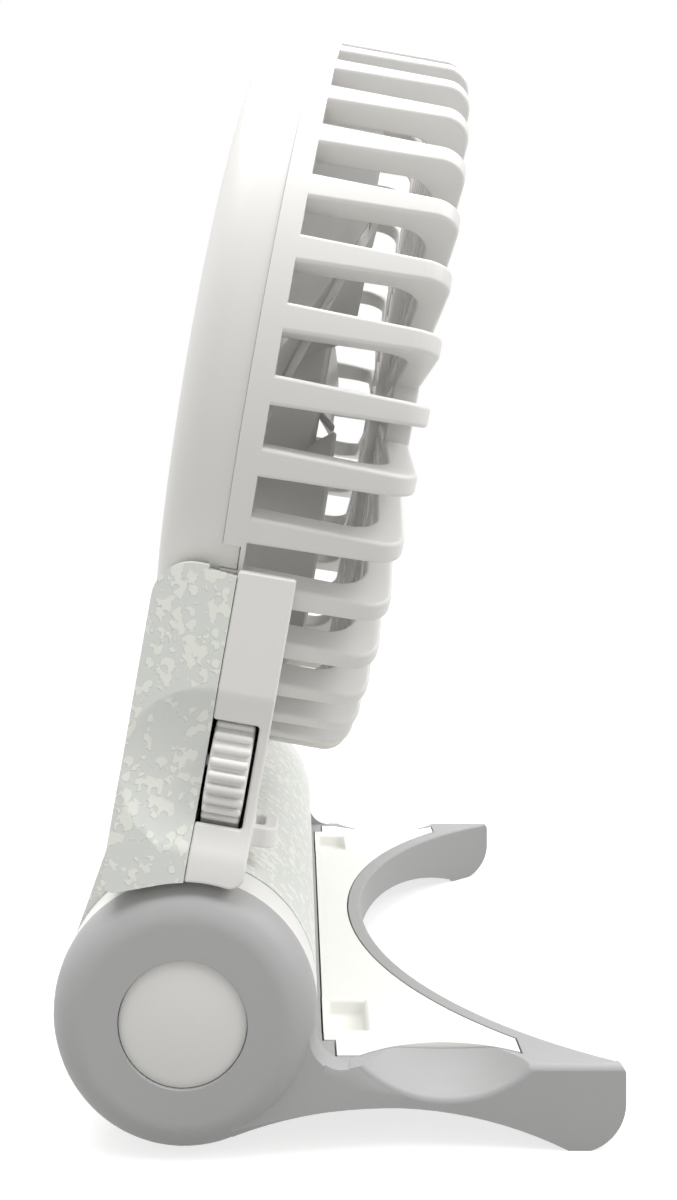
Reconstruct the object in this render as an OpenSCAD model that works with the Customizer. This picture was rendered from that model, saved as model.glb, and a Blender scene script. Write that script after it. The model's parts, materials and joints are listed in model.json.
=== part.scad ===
// Folding desk and hand fan.
// A round fan head sits in a cradle-shaped body that swings on a barrel hinge
// over a U-shaped base. +Z is up, the fan faces -Y and the hinge runs along X.
// The origin is under the middle of the fan, on the surface that it stands on.

/* [Head] */
// Outer radius of the front cage
cage_r = 55; // [45:1:65]
// Depth of the cage ribs from their roots to the front face
cage_depth = 18.8; // [16:0.1:18.8]
// Depth of the plain ring behind the ribs
cage_band = 2.8; // [2:0.1:6]
// Depth of the rear cover behind the cage
cover_depth = 8.2; // [7:0.1:10]
// Radius of the rounded rear edge of the rear cover
cover_round = 5; // [3:0.1:6]
// Wall thickness of the rear cover and the cage ring
head_wall = 1.8; // [1.4:0.1:2.4]
// Number of ribs around the cage
rib_count = 40; // [30:1:48]
// Width of a cage rib at its root
rib_w = 3.6; // [2.8:0.1:4.2]
// Width of a cage rib at the front face
rib_front_w = 2.6; // [2:0.1:3.4]
// Depth of a cage rib, along the radius on the side and along the axis in front
rib_t = 3.6; // [2.4:0.1:4.4]
// Gap between the parting plane of the body and the ribs' roots
root_gap = 0.3; // [0.2:0.1:1]
// Outer corner radius of a cage rib
rib_round = 5; // [3:0.1:7]
// Outer radius of the ring inside the front face
ring_r = 33; // [26:0.5:38]
// Width of the ring inside the front face
ring_w = 2.4; // [1.6:0.1:3.5]
// Width of the fine ribs between the ring and the centre
fine_w = 1.2; // [0.8:0.1:1.6]
// Radius of the centre cap of the cage
boss_r = 14; // [11:0.5:17]
// Width of an air inlet in the rear cover
inlet_w = 2.4; // [1.6:0.1:2.8]
// Number of air inlets in the rear cover
inlet_count = 36; // [24:1:40]

/* [Impeller and motor] */
// Number of blades
blade_count = 5; // [3:1:7]
// Gap between the blade tips and the cage ribs
blade_gap = 2.2; // [1.5:0.1:4]
// Depth of a blade along the axis
blade_h = 15; // [10:0.5:17]
// Thickness of a blade
blade_t = 1.2; // [0.9:0.1:2]
// Outer radius of the impeller hub
hub_r = 14.2; // [13.8:0.1:16]
// Wall thickness of the impeller hub
hub_wall = 1.4; // [1:0.1:1.6]
// Radius of the motor
motor_r = 12; // [10:0.1:12]
// Length of the motor
motor_h = 12.4; // [9:0.1:13]
// Radius of the motor shaft
shaft_r = 1; // [0.75:0.05:1.5]

/* [Body] */
// Distance of the body's sides inside the cage's outline
body_inset = 3; // [2:0.1:5]
// Width of the body's shoulders at their tops
shoulder_w = 3.09; // [2.6:0.01:4]
// Depth of the body behind the hinge axis
body_back = 12.5; // [11:0.1:13]
// Depth of the body in front of the hinge axis
body_front = 4.2; // [3.6:0.1:5]
// Distance of the parting plane behind the hinge axis
split_back = 2.8; // [2:0.1:4]
// Wall thickness of the two body shells
shell_wall = 1.8; // [1.4:0.1:2.4]
// Radius of the shoulders' rear corners
shoulder_round = 4.6; // [2:0.1:5]
// Gap between the head and its cradle
cradle_gap = 0.3; // [0.2:0.05:0.6]
// Height of the head's lowest point above the hinge axis
neck = 24.6; // [23:0.1:28]
// Lean of the body towards the front, in degrees
lean = 10; // [0:1:20]

/* [Hinge] */
// Radius of the barrel and of the base's ears
barrel_r = 16; // [15:0.1:18]
// Distance of the barrel's ends inside the body's sides
barrel_inset = 10.2; // [8:0.1:12]
// Wall thickness of the barrel
barrel_wall = 2; // [1.4:0.1:2.4]
// Gap between the barrel's end and the ear beside it
barrel_gap = 0.3; // [0.2:0.05:0.6]
// Gap between the barrel and what passes round it
swing_gap = 0.5; // [0.4:0.05:1]
// Radius of the pivot screw's shank
pivot_r = 2.5; // [2:0.1:3]
// Radial running clearance of the pivot
pivot_clear = 0.05; // [0.03:0.01:0.08]
// Width of an ear up to its rim
ear_w = 6.3; // [5:0.1:8]
// Rounding from the ear's rim to its outer face
ear_round = 4.4; // [3:0.1:5]
// Radius of the round cap on each ear
cap_r = 7.7; // [6.5:0.1:9]
// Thickness of the cap
cap_t = 1.3; // [1:0.1:1.8]

/* [Base] */
// Width of the arms' top faces at their ends
tip_w = 0.92; // [0.6:0.01:2]
// Height of the ears above the surface, on their foot beads
foot_h = 0.5; // [0.3:0.1:0.8]
// Depth of the arms' top face below the hinge axis
deck_drop = 6.2; // [5:0.1:7]
// Distance of the arms' outer sides outside the ears' rims
arm_out = 1.4; // [1:0.1:2]
// Where the arms' sides stop tapering, in front of the hinge axis
taper_at = 26; // [20:1:34]
// Thickness of the arms at their thinnest
arm_t = 5.3; // [4.8:0.1:6]
// Place of the thinnest part in front of the hinge axis
arch_at = 24; // [22:0.1:26]
// Radius of the arch under the arms
arch_r = 50; // [40:1:70]
// Radius under the arms' ends
tip_r = 6; // [4:0.1:7]
// Depth by which the arms' ends are flattened where they rest
tip_flat = 0.25; // [0.15:0.05:0.5]
// Rounding of the arms' upper edges
deck_round = 1.1; // [0.8:0.1:1.8]
// Radius of the hollow corner between an ear and its arm
ear_fillet = 4; // [2.5:0.1:5]
// Gap between the base and the cage when folded
fold_gap = 0.6; // [0.4:0.05:1]
// Width of the rim between the panel and the U-shaped edge
rim_w = 2.1; // [1.6:0.1:3]
// Thickness of the inset panel
panel_t = 1.6; // [1.2:0.1:2]
// Gap around the inset panel
panel_gap = 0.25; // [0.15:0.05:0.4]
// Radius of the finger scoops in the arms
scoop_r = 16; // [14:0.5:20]
// Place of the finger scoops in front of the hinge axis
scoop_at = 31.7; // [29:0.1:34]
// Half of a finger scoop's length along the arm
scoop_half = 10.3; // [7:0.1:11]
// Depth of a finger scoop down the arm's side
scoop_drop = 4.1; // [3:0.1:5]

/* [Lanyard loops] */
// Distance from the body's side to a loop's centre
loop_inset = 15.4; // [13:0.1:18]
// Width of a loop
loop_w = 7.4; // [6.4:0.1:9]
// Height of a loop along the body
loop_h = 2.7; // [2.2:0.1:3.2]
// Reach of a loop out of the body's front
loop_reach = 3.3; // [2.8:0.1:4]
// Height of a loop's centre above the hinge axis
loop_rise = 19.5; // [19.4:0.1:21]
// Width of the slot through a loop
loop_slot = 1.5; // [1.2:0.1:1.8]
// Gap between a loop and its pocket in the base
pocket_gap = 0.5; // [0.45:0.05:0.6]
// Extra length of a pocket, through which the loop swings in
pocket_lead = 1.2; // [0.9:0.1:1.6]

/* [Thumb wheel] */
// Radius of the thumb wheel
wheel_r = 8; // [7:0.1:9]
// Width of the thumb wheel
wheel_w = 4.9; // [3.4:0.1:5.2]
// Height of the wheel's axle above the hinge axis
wheel_rise = 29.4; // [28:0.1:31]
// Reach of the wheel out of the hollow beside it
wheel_proud = 2.4; // [1.6:0.1:3]
// Number of grip ribs around the wheel
grip_count = 30; // [20:1:36]
// Depth of the hollow for the thumb
thumb_depth = 2.2; // [1.6:0.1:2.6]
// Half of the thumb hollow's length
thumb_half = 10.2; // [9:0.1:12]
// Gap between the wheel and its window
window_gap = 0.4; // [0.35:0.05:0.6]
// Radius of the wheel's axle
axle_r = 1.5; // [1:0.1:2]

/* [Battery and electronics] */
// Wall thickness of the battery cradle
cradle_t = 4.85; // [3:0.05:6]
// Room between the battery cell and the bush at each end
cell_room = 4.3; // [3:0.1:9]
// Thickness of the circuit board
board_t = 1; // [0.8:0.1:1.2]

/* [Hidden] */
$fn = 96;
overrun = 1;
seat = 0.05;

// Widths and heights that follow the head and the barrel
axis_height = barrel_r + foot_h;
head_rise = cage_r + neck;
cradle_r = cage_r + cradle_gap;
notch_r = cage_r + fold_gap;
body_half = cage_r - body_inset;
body_top = head_rise - sqrt(cradle_r * cradle_r - (body_half - shoulder_w) * (body_half - shoulder_w));
barrel_half = body_half - barrel_inset;
ear_in = barrel_half + barrel_gap;
ear_rim = ear_in + ear_w;
ear_out = ear_rim + ear_round;
arm_half = ear_rim + arm_out;
reach = head_rise - sqrt(notch_r * notch_r - (arm_half - tip_w) * (arm_half - tip_w));
loop_x = body_half - loop_inset;

// Hinge and base, worked out
hinge_y = (reach - barrel_r) / 2;
bore_r = barrel_r - barrel_wall;
clear_r = barrel_r + swing_gap;
arch_mid = -deck_drop - arm_t - arch_r;
tip_z = tip_r - tip_flat - axis_height;
tip_at = reach - tip_r;
tip_share = arch_r / (arch_r + tip_r);
joint_at = arch_at + (tip_at - arch_at) * tip_share;
joint_z = arch_mid + (tip_z - arch_mid) * tip_share;
root_share = 0.36;
root_at = barrel_r * root_share;
fillet_z = ear_fillet - deck_drop;
fillet_at = sqrt((barrel_r + ear_fillet) * (barrel_r + ear_fillet) - fillet_z * fillet_z);
fillet_share = barrel_r / (barrel_r + ear_fillet);
foot_r = 0.85;
foot_at = -1.1;
foot_w = 3;
panel_rim = 0.4;
panel_lip = 1.5;
panel_neck_inset = 6.3;
panel_inset = 2.4;
panel_waist_inset = 5.7;
panel_short = 12.1;
panel_in = clear_r + panel_rim;
panel_step = panel_in + panel_lip;
panel_neck = arm_half - panel_neck_inset;
panel_half = arm_half - panel_inset;
panel_waist = arm_half - panel_waist_inset;
panel_end = reach - panel_short;
panel_waist_r = 18.6;
pocket_x = loop_w + pocket_gap * 2;
pocket_y = loop_h + pocket_gap * 2 + pocket_lead;
pocket_at = loop_rise - loop_h / 2 - pocket_gap;
pocket_z = loop_reach + body_front - deck_drop + pocket_gap * 2;
pocket_wall = 0.8;
scoop_low = (scoop_half * scoop_half - scoop_drop * scoop_drop) / (2 * scoop_drop);
scoop_side = sqrt(scoop_r * scoop_r - (scoop_low + scoop_drop) * (scoop_low + scoop_drop));

// Pivot and battery, worked out
pivot_head_r = 4.5;
pivot_head_t = 1.7;
bush_t = 5;
bush_in = barrel_half - bush_t;
cell_half = bush_in - cell_room;
cell_r = bore_r - cradle_t;
washer_t = 0.8;
washer_r = 6.5;
washer_gap = 0.1;
nut_t = 2;
nut_r = 4.75;

// Head, worked out
rib_root = root_gap - split_back;
cage_back = rib_root - cage_band;
cage_front = rib_root + cage_depth;
cover_back = cage_back - cover_depth;
cover_r = cage_r - root_gap;
rib_in_r = cage_r - rib_t;
inner_round_share = 0.3;
rib_inner_round = rib_round - rib_t * inner_round_share;
face_back = cage_front - rib_t;
plate_front = cover_back + head_wall;
motor_front = plate_front + motor_h;
hub_gap = 1.6;
hub_front = motor_front + hub_gap + hub_wall;
blade_r = rib_in_r - blade_gap;
blade_lift = 3;
blade_back = plate_front + blade_lift;
blade_inset = 0.4;
blade_turn = 52;
blade_mid_share = [0.62, 0.55];
blade_bend_share = 0.8;
motor_screw_count = 3;
motor_bush_r = 2.5;
hub_boss_r = 2.8;
inlet_in = motor_r + 2 * inlet_w;
inlet_out = cage_r - cover_round - head_wall - inlet_w;
latch_w = 3.3;
latch_gap = 0.12;
latch_rise = 1.1;
latch_share = 0.75;
latch_lap = 0.5;
key_t = head_wall - root_gap - seat;
latch_angle = asin((head_rise - body_top - latch_rise) / cage_r);
latch_sweep = latch_w / cage_r * 180 / PI;
latch_edge = latch_gap / cage_r * 180 / PI;

// Body, worked out
front_in = body_front - shell_wall;
back_in = body_back - shell_wall;
barrel_flare = 22;
flare_d = sqrt(barrel_flare * barrel_flare + body_back * body_back);
flare_a = atan2(barrel_flare, body_back) - acos(barrel_r / flare_d);
ledge = 0.05;
shoulder_step = 0.54;
shoulder_step_at = 3.6;
shoulder_fall = 0.3;
foot_rise = 13;
foot_round = 1.5;
foot_d = sqrt(foot_rise * foot_rise + body_back * body_back);
foot_a = atan2(foot_rise, -body_back) - acos(clear_r / foot_d);
chin_round = 1.8;
chin_n = body_front - chin_round + seat;
chin_u = sqrt((clear_r + chin_round) * (clear_r + chin_round) - chin_n * chin_n);
thumb_r = (thumb_half * thumb_half + thumb_depth * thumb_depth) / (2 * thumb_depth);
wheel_x = body_half - thumb_depth + wheel_proud - wheel_r;
wheel_n = (wheel_w / 2 + window_gap) - split_back;
window_r = wheel_r + window_gap;
window_half = sqrt(window_r * window_r - (wheel_r - wheel_proud) * (wheel_r - wheel_proud));
grip_r = wheel_r * PI / grip_count / 2;
socket_w = 9;
socket_h = 3.2;
socket_l = 7.4;
socket_wall = 0.35;
board_x = 17;
board_u = 20;
board_gap = 0.3;
board_low = 22.6;
board_back = -split_back - board_gap - board_t;
control_t = 2.4;
control_r = 3.6;
post_r = 2.4;
screw_r = 1;
screw_head_r = 1.9;
screw_head_t = 1.4;
post_inset = 5.5;
post_drop = 7.8;
post_low_inset = 18;
post_low = 21.6;
post_spots = [[body_half - post_inset, body_top - post_drop], [body_half - post_low_inset, post_low]];

// Colours
warm_white = [0.92, 0.91, 0.89];
stone_white = [0.87, 0.88, 0.85];
base_grey = [0.62, 0.62, 0.62];
cap_grey = [0.78, 0.77, 0.76];
panel_white = [0.97, 0.97, 0.95];
steel = [0.72, 0.73, 0.75];
board_green = [0.12, 0.4, 0.25];
cell_blue = [0.2, 0.45, 0.7];

// Frames. Each one places a piece's own axes in the assembly.

// The hinge axis, with the base flat
module at_hinge() {
    translate([0, hinge_y, axis_height]) children();
}

// The body: Z runs up the body and -Y out of its front
module at_body() {
    at_hinge() rotate([lean, 0, 0]) children();
}

// The head: Z runs along the fan's axis to the front and Y up the body
module at_head() {
    at_body() translate([0, 0, head_rise]) rotate([90, 0, 0]) children();
}

// Side profiles: the first axis points forward, the second up, drawn from in to out on the left
module across(inner, outer) {
    rotate([90, 0, -90]) translate([0, 0, inner]) linear_extrude(height = outer - inner) children();
}

// A round piece along X on the left side, from in to out
module rod(inner, outer, radius) {
    rotate([0, -90, 0]) translate([0, 0, inner]) cylinder(h = outer - inner, r = radius);
}

module on_right() {
    mirror([1, 0, 0]) children();
}

module both_sides() {
    children();
    on_right() children();
}

// Base: outlines

// Side outline of the hollow corner between an ear and its arm
module fillet_outline() {
    difference() {
        polygon([
            [root_at, -deck_drop - seat], [fillet_at * fillet_share, fillet_z * fillet_share],
            [fillet_at, fillet_z], [fillet_at, -deck_drop - seat]
        ]);
        translate([fillet_at, fillet_z]) circle(r = ear_fillet);
    }
}

// Side outline of an arm
module arm_outline() {
    difference() {
        translate([root_at, -axis_height]) square([joint_at - root_at, axis_height - deck_drop]);
        translate([arch_at, arch_mid]) circle(r = arch_r, $fn = 256);
    }
    polygon([[joint_at, joint_z], [tip_at, tip_z], [tip_at, -deck_drop], [joint_at, -deck_drop]]);
    intersection() {
        translate([tip_at, tip_z]) circle(r = tip_r);
        translate([joint_at, -axis_height]) square([reach - joint_at + overrun, axis_height + tip_z]);
    }
    difference() {
        translate([tip_at, tip_z]) square([tip_r, -deck_drop - tip_z]);
        translate([reach - deck_round, -deck_drop - deck_round]) square(deck_round);
    }
    translate([reach - deck_round, -deck_drop - deck_round]) circle(r = deck_round);
}

// Plan of what the left arm's taper takes away: X across, forward down
module side_taper() {
    polygon([
        [-ear_out, 0], [-arm_half, -taper_at], [-arm_half, -reach - overrun],
        [-ear_out - overrun, -reach - overrun], [-ear_out - overrun, 0]
    ]);
}

// Plan of the inset panel, grown by a margin: X across, forward up
module panel_plan(margin) {
    difference() {
        union() {
            translate([-panel_neck - margin, panel_in - margin])
                square([2 * (panel_neck + margin), panel_step - panel_in + 2 * margin]);
            translate([-panel_half - margin, panel_step - margin])
                square([2 * (panel_half + margin), panel_end - panel_step + 2 * margin]);
        }
        translate([0, head_rise]) circle(r = notch_r + rim_w + panel_gap - margin, $fn = 256);
        for (side = [-1, 1])
            translate([side * (panel_waist + panel_waist_r), scoop_at]) circle(r = panel_waist_r - margin);
    }
}

// Something drawn in plan, extruded down from the arms' top face
module under_deck(depth) {
    translate([0, 0, -deck_drop - depth]) linear_extrude(height = depth) mirror([0, 1]) children();
}

// Base: the grey U-shaped frame with its two ears
module base_frame() color(base_grey) at_hinge() {
    difference() {
        union() {
            both_sides() {
                difference() {
                    ear_dome();
                    translate([-ear_rim, -barrel_r * 2, -deck_drop])
                        cube([ear_rim - ear_in + overrun, barrel_r * 4, barrel_r + deck_drop + overrun]);
                }
                difference() {
                    union() {
                        across(ear_in, ear_out) arm_outline();
                        across(ear_rim + seat, ear_out) fillet_outline();
                    }
                    translate([0, 0, -axis_height * 2]) linear_extrude(height = axis_height * 2) side_taper();
                    deck_edge_cut();
                    ring_edge_cut(arch_at, arch_mid, arch_r);
                }
                translate([-ear_rim, -foot_at, foot_r - axis_height]) rotate([0, 90, 0])
                    cylinder(h = foot_w, r = foot_r, $fn = 24);
            }
            difference() {
                across(-ear_in - seat, ear_in + seat) {
                    circle(r = barrel_r);
                    arm_outline();
                }
                across(-ear_in - overrun, ear_in + overrun) circle(r = clear_r);
                across(-ear_in - overrun, ear_in + overrun)
                    translate([-barrel_r * 2, -barrel_r * 2]) square([barrel_r * 2, barrel_r * 4]);
            }
        }
        translate([0, -head_rise, -axis_height - overrun])
            cylinder(h = axis_height, r = notch_r, $fn = 256);
        under_deck(panel_t) panel_plan(panel_gap);
        both_sides() {
            pocket_box(pocket_wall + panel_gap, pocket_wall + panel_gap);
            finger_scoop();
            rod(ear_out - cap_t - seat, ear_out + overrun, cap_r);
            rod(ear_out - cap_t - pivot_head_t - seat, ear_out, pivot_head_r + seat);
            rod(ear_in - overrun, ear_out, pivot_r);
        }
    }
}

// An ear with its domed outer face
module ear_dome() {
    rotate([0, -90, 0]) rotate_extrude() {
        translate([0, ear_in]) square([barrel_r, ear_rim - ear_in]);
        translate([0, ear_rim]) square([barrel_r - ear_round, ear_round]);
        intersection() {
            translate([barrel_r - ear_round, ear_rim]) circle(r = ear_round, $fn = 64);
            translate([barrel_r - ear_round, ear_rim]) square(ear_round);
        }
    }
}

// Hollow for a finger on the arm's upper edge
module finger_scoop() {
    translate([-arm_half - scoop_side, -scoop_at, -deck_drop + scoop_low]) sphere(r = scoop_r);
}

// What the rounding of the arm's outer upper edge takes away: wide beside the ear, narrow at the end
module deck_edge_cut() {
    translate([-ear_rim, 0, -deck_drop - ear_round]) edge_cut(fillet_at, taper_at, ear_round);
    translate([deck_round - arm_half, 0, -deck_drop - deck_round])
        edge_cut(taper_at, reach + overrun, deck_round);
}

// What a rounding of an upper edge takes away along one stretch that runs forward
module edge_cut(from, to, radius) {
    difference() {
        translate([-radius - overrun, -to, 0]) cube([radius + overrun, to - from, radius + overrun]);
        translate([-seat, overrun - from, seat]) rotate([90, 0, 0])
            cylinder(h = to - from + 2 * overrun, r = radius, $fn = 64);
    }
}

// What the ear's rounding takes away where it follows a hollow curve of the arm's side
module ring_edge_cut(at, up, radius) {
    translate([0, -at, up]) rotate([0, -90, 0]) rotate_extrude($fn = 256) difference() {
        translate([radius - overrun, ear_rim]) square([ear_round + overrun, ear_round + overrun]);
        translate([radius + ear_round - seat, ear_rim]) circle(r = ear_round, $fn = 64);
    }
}

// A pocket for a lanyard loop, with walls and floor grown by a margin
module pocket_box(wall, floor_wall) {
    translate([-loop_x - pocket_x / 2 - wall, -pocket_at - pocket_y - wall, 0])
        translate([0, 0, -deck_drop - pocket_z - floor_wall])
            cube([pocket_x + 2 * wall, pocket_y + 2 * wall, pocket_z + floor_wall + overrun]);
}

// Base: the white panel inset in the frame's top face, with its two pockets
module base_panel() color(panel_white) at_hinge() difference() {
    union() {
        under_deck(panel_t) panel_plan(0);
        both_sides() intersection() {
            pocket_box(pocket_wall, pocket_wall);
            translate([-body_half, -reach, -axis_height]) cube([body_half, reach, axis_height - deck_drop]);
        }
    }
    both_sides() pocket_box(0, 0);
}

// Base: the white inner half of an ear, above the arm's top face
module ear_cover() color(warm_white) at_hinge() difference() {
    across(ear_in, ear_rim) difference() {
        circle(r = barrel_r);
        translate([-barrel_r * 2, -barrel_r * 2]) square([barrel_r * 4, barrel_r * 2 - deck_drop]);
    }
    rod(ear_in - overrun, ear_rim + overrun, pivot_r);
}

// Base: the round cap that hides the pivot screw
module ear_cap() color(cap_grey) at_hinge() rod(ear_out - cap_t, ear_out, cap_r - seat);

// Base: shoulder screw of the hinge, with its nut inside the barrel
module pivot_screw() color(steel) at_hinge() {
    rod(bush_in - nut_t, ear_out - cap_t - pivot_head_t, pivot_r);
    rod(ear_out - cap_t - pivot_head_t, ear_out - cap_t - seat, pivot_head_r);
    rotate([0, -90, 0]) translate([0, 0, bush_in - nut_t - seat])
        cylinder(h = nut_t - seat, r = nut_r, $fn = 6);
}

// Base: wave washers that give the hinge its friction
module hinge_washers() color(steel) at_hinge() both_sides() difference() {
    rod(ear_in - washer_t, ear_in, washer_r);
    rod(0, ear_rim, pivot_r + pivot_clear);
}

// Body: outlines

// Plan of the body with its cradle, shrunk by a margin: X across, up the body
module body_plan(margin) {
    difference() {
        translate([-body_half + margin, 0]) square([2 * (body_half - margin), body_top - margin]);
        translate([0, head_rise]) circle(r = cradle_r + margin, $fn = 256);
    }
}

// The body's plan as a slab between two depths, front positive
module body_slab(back, front, margin) {
    translate([0, -front, 0]) rotate([90, 0, 0]) mirror([0, 0, 1])
        linear_extrude(height = front - back) body_plan(margin);
}

// Space under the left lobe beyond the barrel's end: what the ear sweeps, and the lobe's rounded corners
module ear_space() {
    rod(barrel_half, body_half + overrun, clear_r);
    across(barrel_half, body_half + overrun) {
        heel_outline();
        chin_outline();
    }
}

// Side outline of what is cut from a lobe's lower rear corner
module heel_outline() {
    slope = atan2(clear_r * sin(foot_a) - foot_rise, clear_r * cos(foot_a) + body_back);
    up = foot_rise + foot_round * (1 + sin(slope)) / cos(slope);
    polygon([
        [0, 0], [-body_back - overrun, 0], [-body_back - overrun, foot_rise - overrun * tan(slope)],
        [clear_r * cos(foot_a), clear_r * sin(foot_a)]
    ]);
    difference() {
        polygon([
            [-body_back - overrun, foot_rise - overrun * tan(slope)], [-body_back - overrun, up],
            [foot_round - body_back, up],
            [foot_round * (1 + sin(slope)) - body_back, up - foot_round * cos(slope)],
            [-body_back, foot_rise - seat]
        ]);
        translate([foot_round - body_back - seat, up]) circle(r = foot_round, $fn = 48);
    }
}

// Side outline of what is cut from a lobe's lower front corner
module chin_outline() {
    difference() {
        polygon([
            [chin_n * clear_r / (clear_r + chin_round), chin_u * clear_r / (clear_r + chin_round) - seat],
            [chin_n, chin_u], [body_front + overrun, chin_u], [body_front + overrun, chin_u - 3 * chin_round]
        ]);
        translate([chin_n, chin_u]) circle(r = chin_round, $fn = 48);
    }
}

// Hollow for the thumb in the front shell, on the left side, grown by a margin
module thumb_hollow(margin) {
    translate([-body_half - thumb_r + thumb_depth, -body_front - overrun, wheel_rise])
        rotate([-90, 0, 0])
            cylinder(h = body_front + split_back + 2 * overrun, r = thumb_r + margin, $fn = 192);
}

// The dish in which the thumb hollow ends in the rear shell, grown by a margin
module thumb_dish(margin) {
    translate([-body_half - thumb_r + thumb_depth, split_back, wheel_rise])
        sphere(r = thumb_r + margin, $fn = 128);
}

// Cavity inside the side lobes of a shell, less the posts and the wall behind the thumb hollow
module lobe_space(back, front) {
    difference() {
        body_slab(back, front, shell_wall);
        rod(-body_half, body_half, clear_r + shell_wall);
        children();
        for (side = [0, 1]) mirror([side, 0, 0]) for (spot = post_spots)
            translate([-spot[0], -front - overrun, spot[1]]) rotate([-90, 0, 0])
                cylinder(h = front - back + 2 * overrun, r = post_r, $fn = 32);
    }
}

// Body: speckled rear shell, in one piece with the barrel
module rear_shell() color(stone_white) at_body() difference() {
    union() {
        difference() {
            intersection() {
                body_slab(-body_back, -split_back - ledge, 0);
                shoulder_outline();
            }
            both_sides() ear_space();
            lobe_space(-back_in, -split_back + overrun) thumb_dish(shell_wall);
        }
        difference() {
            across(-barrel_half, barrel_half) barrel_outline();
            translate([0, 0, head_rise]) rotate([90, 0, 0])
                cylinder(h = 4 * barrel_r, r = cradle_r, center = true, $fn = 256);
        }
    }
    across(-barrel_half - overrun, barrel_half + overrun) circle(r = bore_r);
    screw_holes();
    thumb_dish(0);
}

// Side outline that rounds the shoulders' rear corners and steps down beside the front shell
module shoulder_outline() {
    step_at = -split_back - shoulder_step_at;
    across(-body_half, body_half) difference() {
        union() {
            translate([-body_back, 0]) square([body_back, body_top - shoulder_round]);
            translate([shoulder_round - body_back, 0]) square([body_back - shoulder_round, body_top]);
            translate([shoulder_round - body_back, body_top - shoulder_round])
                circle(r = shoulder_round, $fn = 64);
        }
        polygon([
            [step_at, body_top + overrun], [step_at, body_top - shoulder_step],
            [-split_back, body_top - shoulder_step - shoulder_fall],
            [overrun, body_top - shoulder_step - shoulder_fall], [overrun, body_top + overrun]
        ]);
    }
}

// Side outline of the barrel, with the flare that meets the body's back
module barrel_outline() {
    circle(r = barrel_r);
    polygon([
        [-split_back - ledge, 0], [-barrel_r * cos(flare_a), barrel_r * sin(flare_a)],
        [-body_back, barrel_flare], [-split_back - ledge, barrel_flare]
    ]);
}

// Screw holes through the rear shell, with countersunk heads
module screw_holes() {
    for (side = [0, 1]) mirror([side, 0, 0]) for (spot = post_spots)
        translate([-spot[0], body_back, spot[1]]) rotate([90, 0, 0]) {
            translate([0, 0, -overrun]) cylinder(h = body_back + overrun, r = screw_r + seat, $fn = 32);
            translate([0, 0, -overrun])
                cylinder(h = screw_head_t + seat + overrun, r = screw_head_r + seat, $fn = 32);
        }
}

// Body: front shell with the wheel's window and the lanyard loops
module front_shell() color(warm_white) at_body() difference() {
    union() {
        body_slab(-split_back, body_front, 0);
        both_sides() loop_solid();
    }
    rod(-body_half, body_half, barrel_r + ledge);
    both_sides() ear_space();
    lobe_space(-split_back - overrun, front_in) thumb_hollow(shell_wall);
    thumb_hollow(0);
    wheel_window();
    on_right() socket_window();
    both_sides() loop_hole();
    for (side = [0, 1]) mirror([side, 0, 0]) for (spot = post_spots)
        translate([-spot[0], split_back + overrun, spot[1]]) rotate([90, 0, 0])
            cylinder(h = overrun + front_in + split_back, r = screw_r, $fn = 32);
}

// Window that the wheel looks out of, on the left
module wheel_window() {
    translate([-body_half - overrun, -wheel_n - wheel_w / 2 - window_gap, wheel_rise - window_half])
        cube([overrun + body_half - wheel_x, wheel_w + 2 * window_gap + overrun, 2 * window_half]);
    translate([-wheel_x, -wheel_n - wheel_w / 2 - window_gap, wheel_rise]) rotate([-90, 0, 0])
        cylinder(h = wheel_w + 2 * window_gap + overrun, r = window_r);
}

// Hole for the charging socket; drawn on the left and mirrored
module socket_window() {
    translate([-body_half - overrun, split_back - socket_h, wheel_rise - socket_w / 2])
        cube([overrun + shell_wall * 2, socket_h + overrun, socket_w]);
}

// A lanyard loop
module loop_solid() {
    corner_r = loop_w / 4;
    translate([-loop_x, -body_front, loop_rise - loop_h / 2]) {
        translate([-loop_w / 2, corner_r - loop_reach, 0])
            cube([loop_w, loop_reach - corner_r + overrun, loop_h]);
        for (side = [-1, 1]) translate([side * corner_r, corner_r - loop_reach, 0])
            cylinder(h = loop_h, r = corner_r, $fn = 48);
        translate([-corner_r, -loop_reach, 0]) cube([2 * corner_r, corner_r, loop_h]);
    }
}

// The slot through a lanyard loop
module loop_hole() {
    translate([-loop_x, -body_front - loop_slot / 2 - seat, loop_rise - loop_h]) {
        for (side = [-1, 1]) translate([side * loop_w / 5, 0, 0])
            cylinder(h = 2 * loop_h, r = loop_slot / 2, $fn = 32);
        translate([-loop_w / 5, -loop_slot / 2, 0]) cube([loop_w / 5 * 2, loop_slot, 2 * loop_h]);
    }
}

// Body: bush that closes a barrel end and carries the pivot
module hinge_bush() color(warm_white) at_body() difference() {
    rod(bush_in, barrel_half, bore_r - seat);
    rod(ear_in - washer_t - washer_gap, barrel_half + overrun, washer_r + 2 * washer_gap);
    rod(bush_in - overrun, barrel_half + overrun, pivot_r + pivot_clear);
}

// Body: cradle that holds the battery cell in the barrel
module battery_cradle() color(warm_white) at_body() difference() {
    rod(-cell_half, cell_half, bore_r - seat);
    rod(-cell_half - overrun, cell_half + overrun, cell_r + seat);
}

// Body: rechargeable cell
module battery_cell() color(cell_blue) at_body() {
    rod(-cell_half, cell_half - washer_t, cell_r);
    rod(0, cell_half, cell_r / 3);
}

// Body: contact plates at the cell's ends
module battery_contacts() color(steel) at_body() both_sides()
    rod(cell_half + seat, cell_half + seat + washer_t, cell_r * 0.7);

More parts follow.
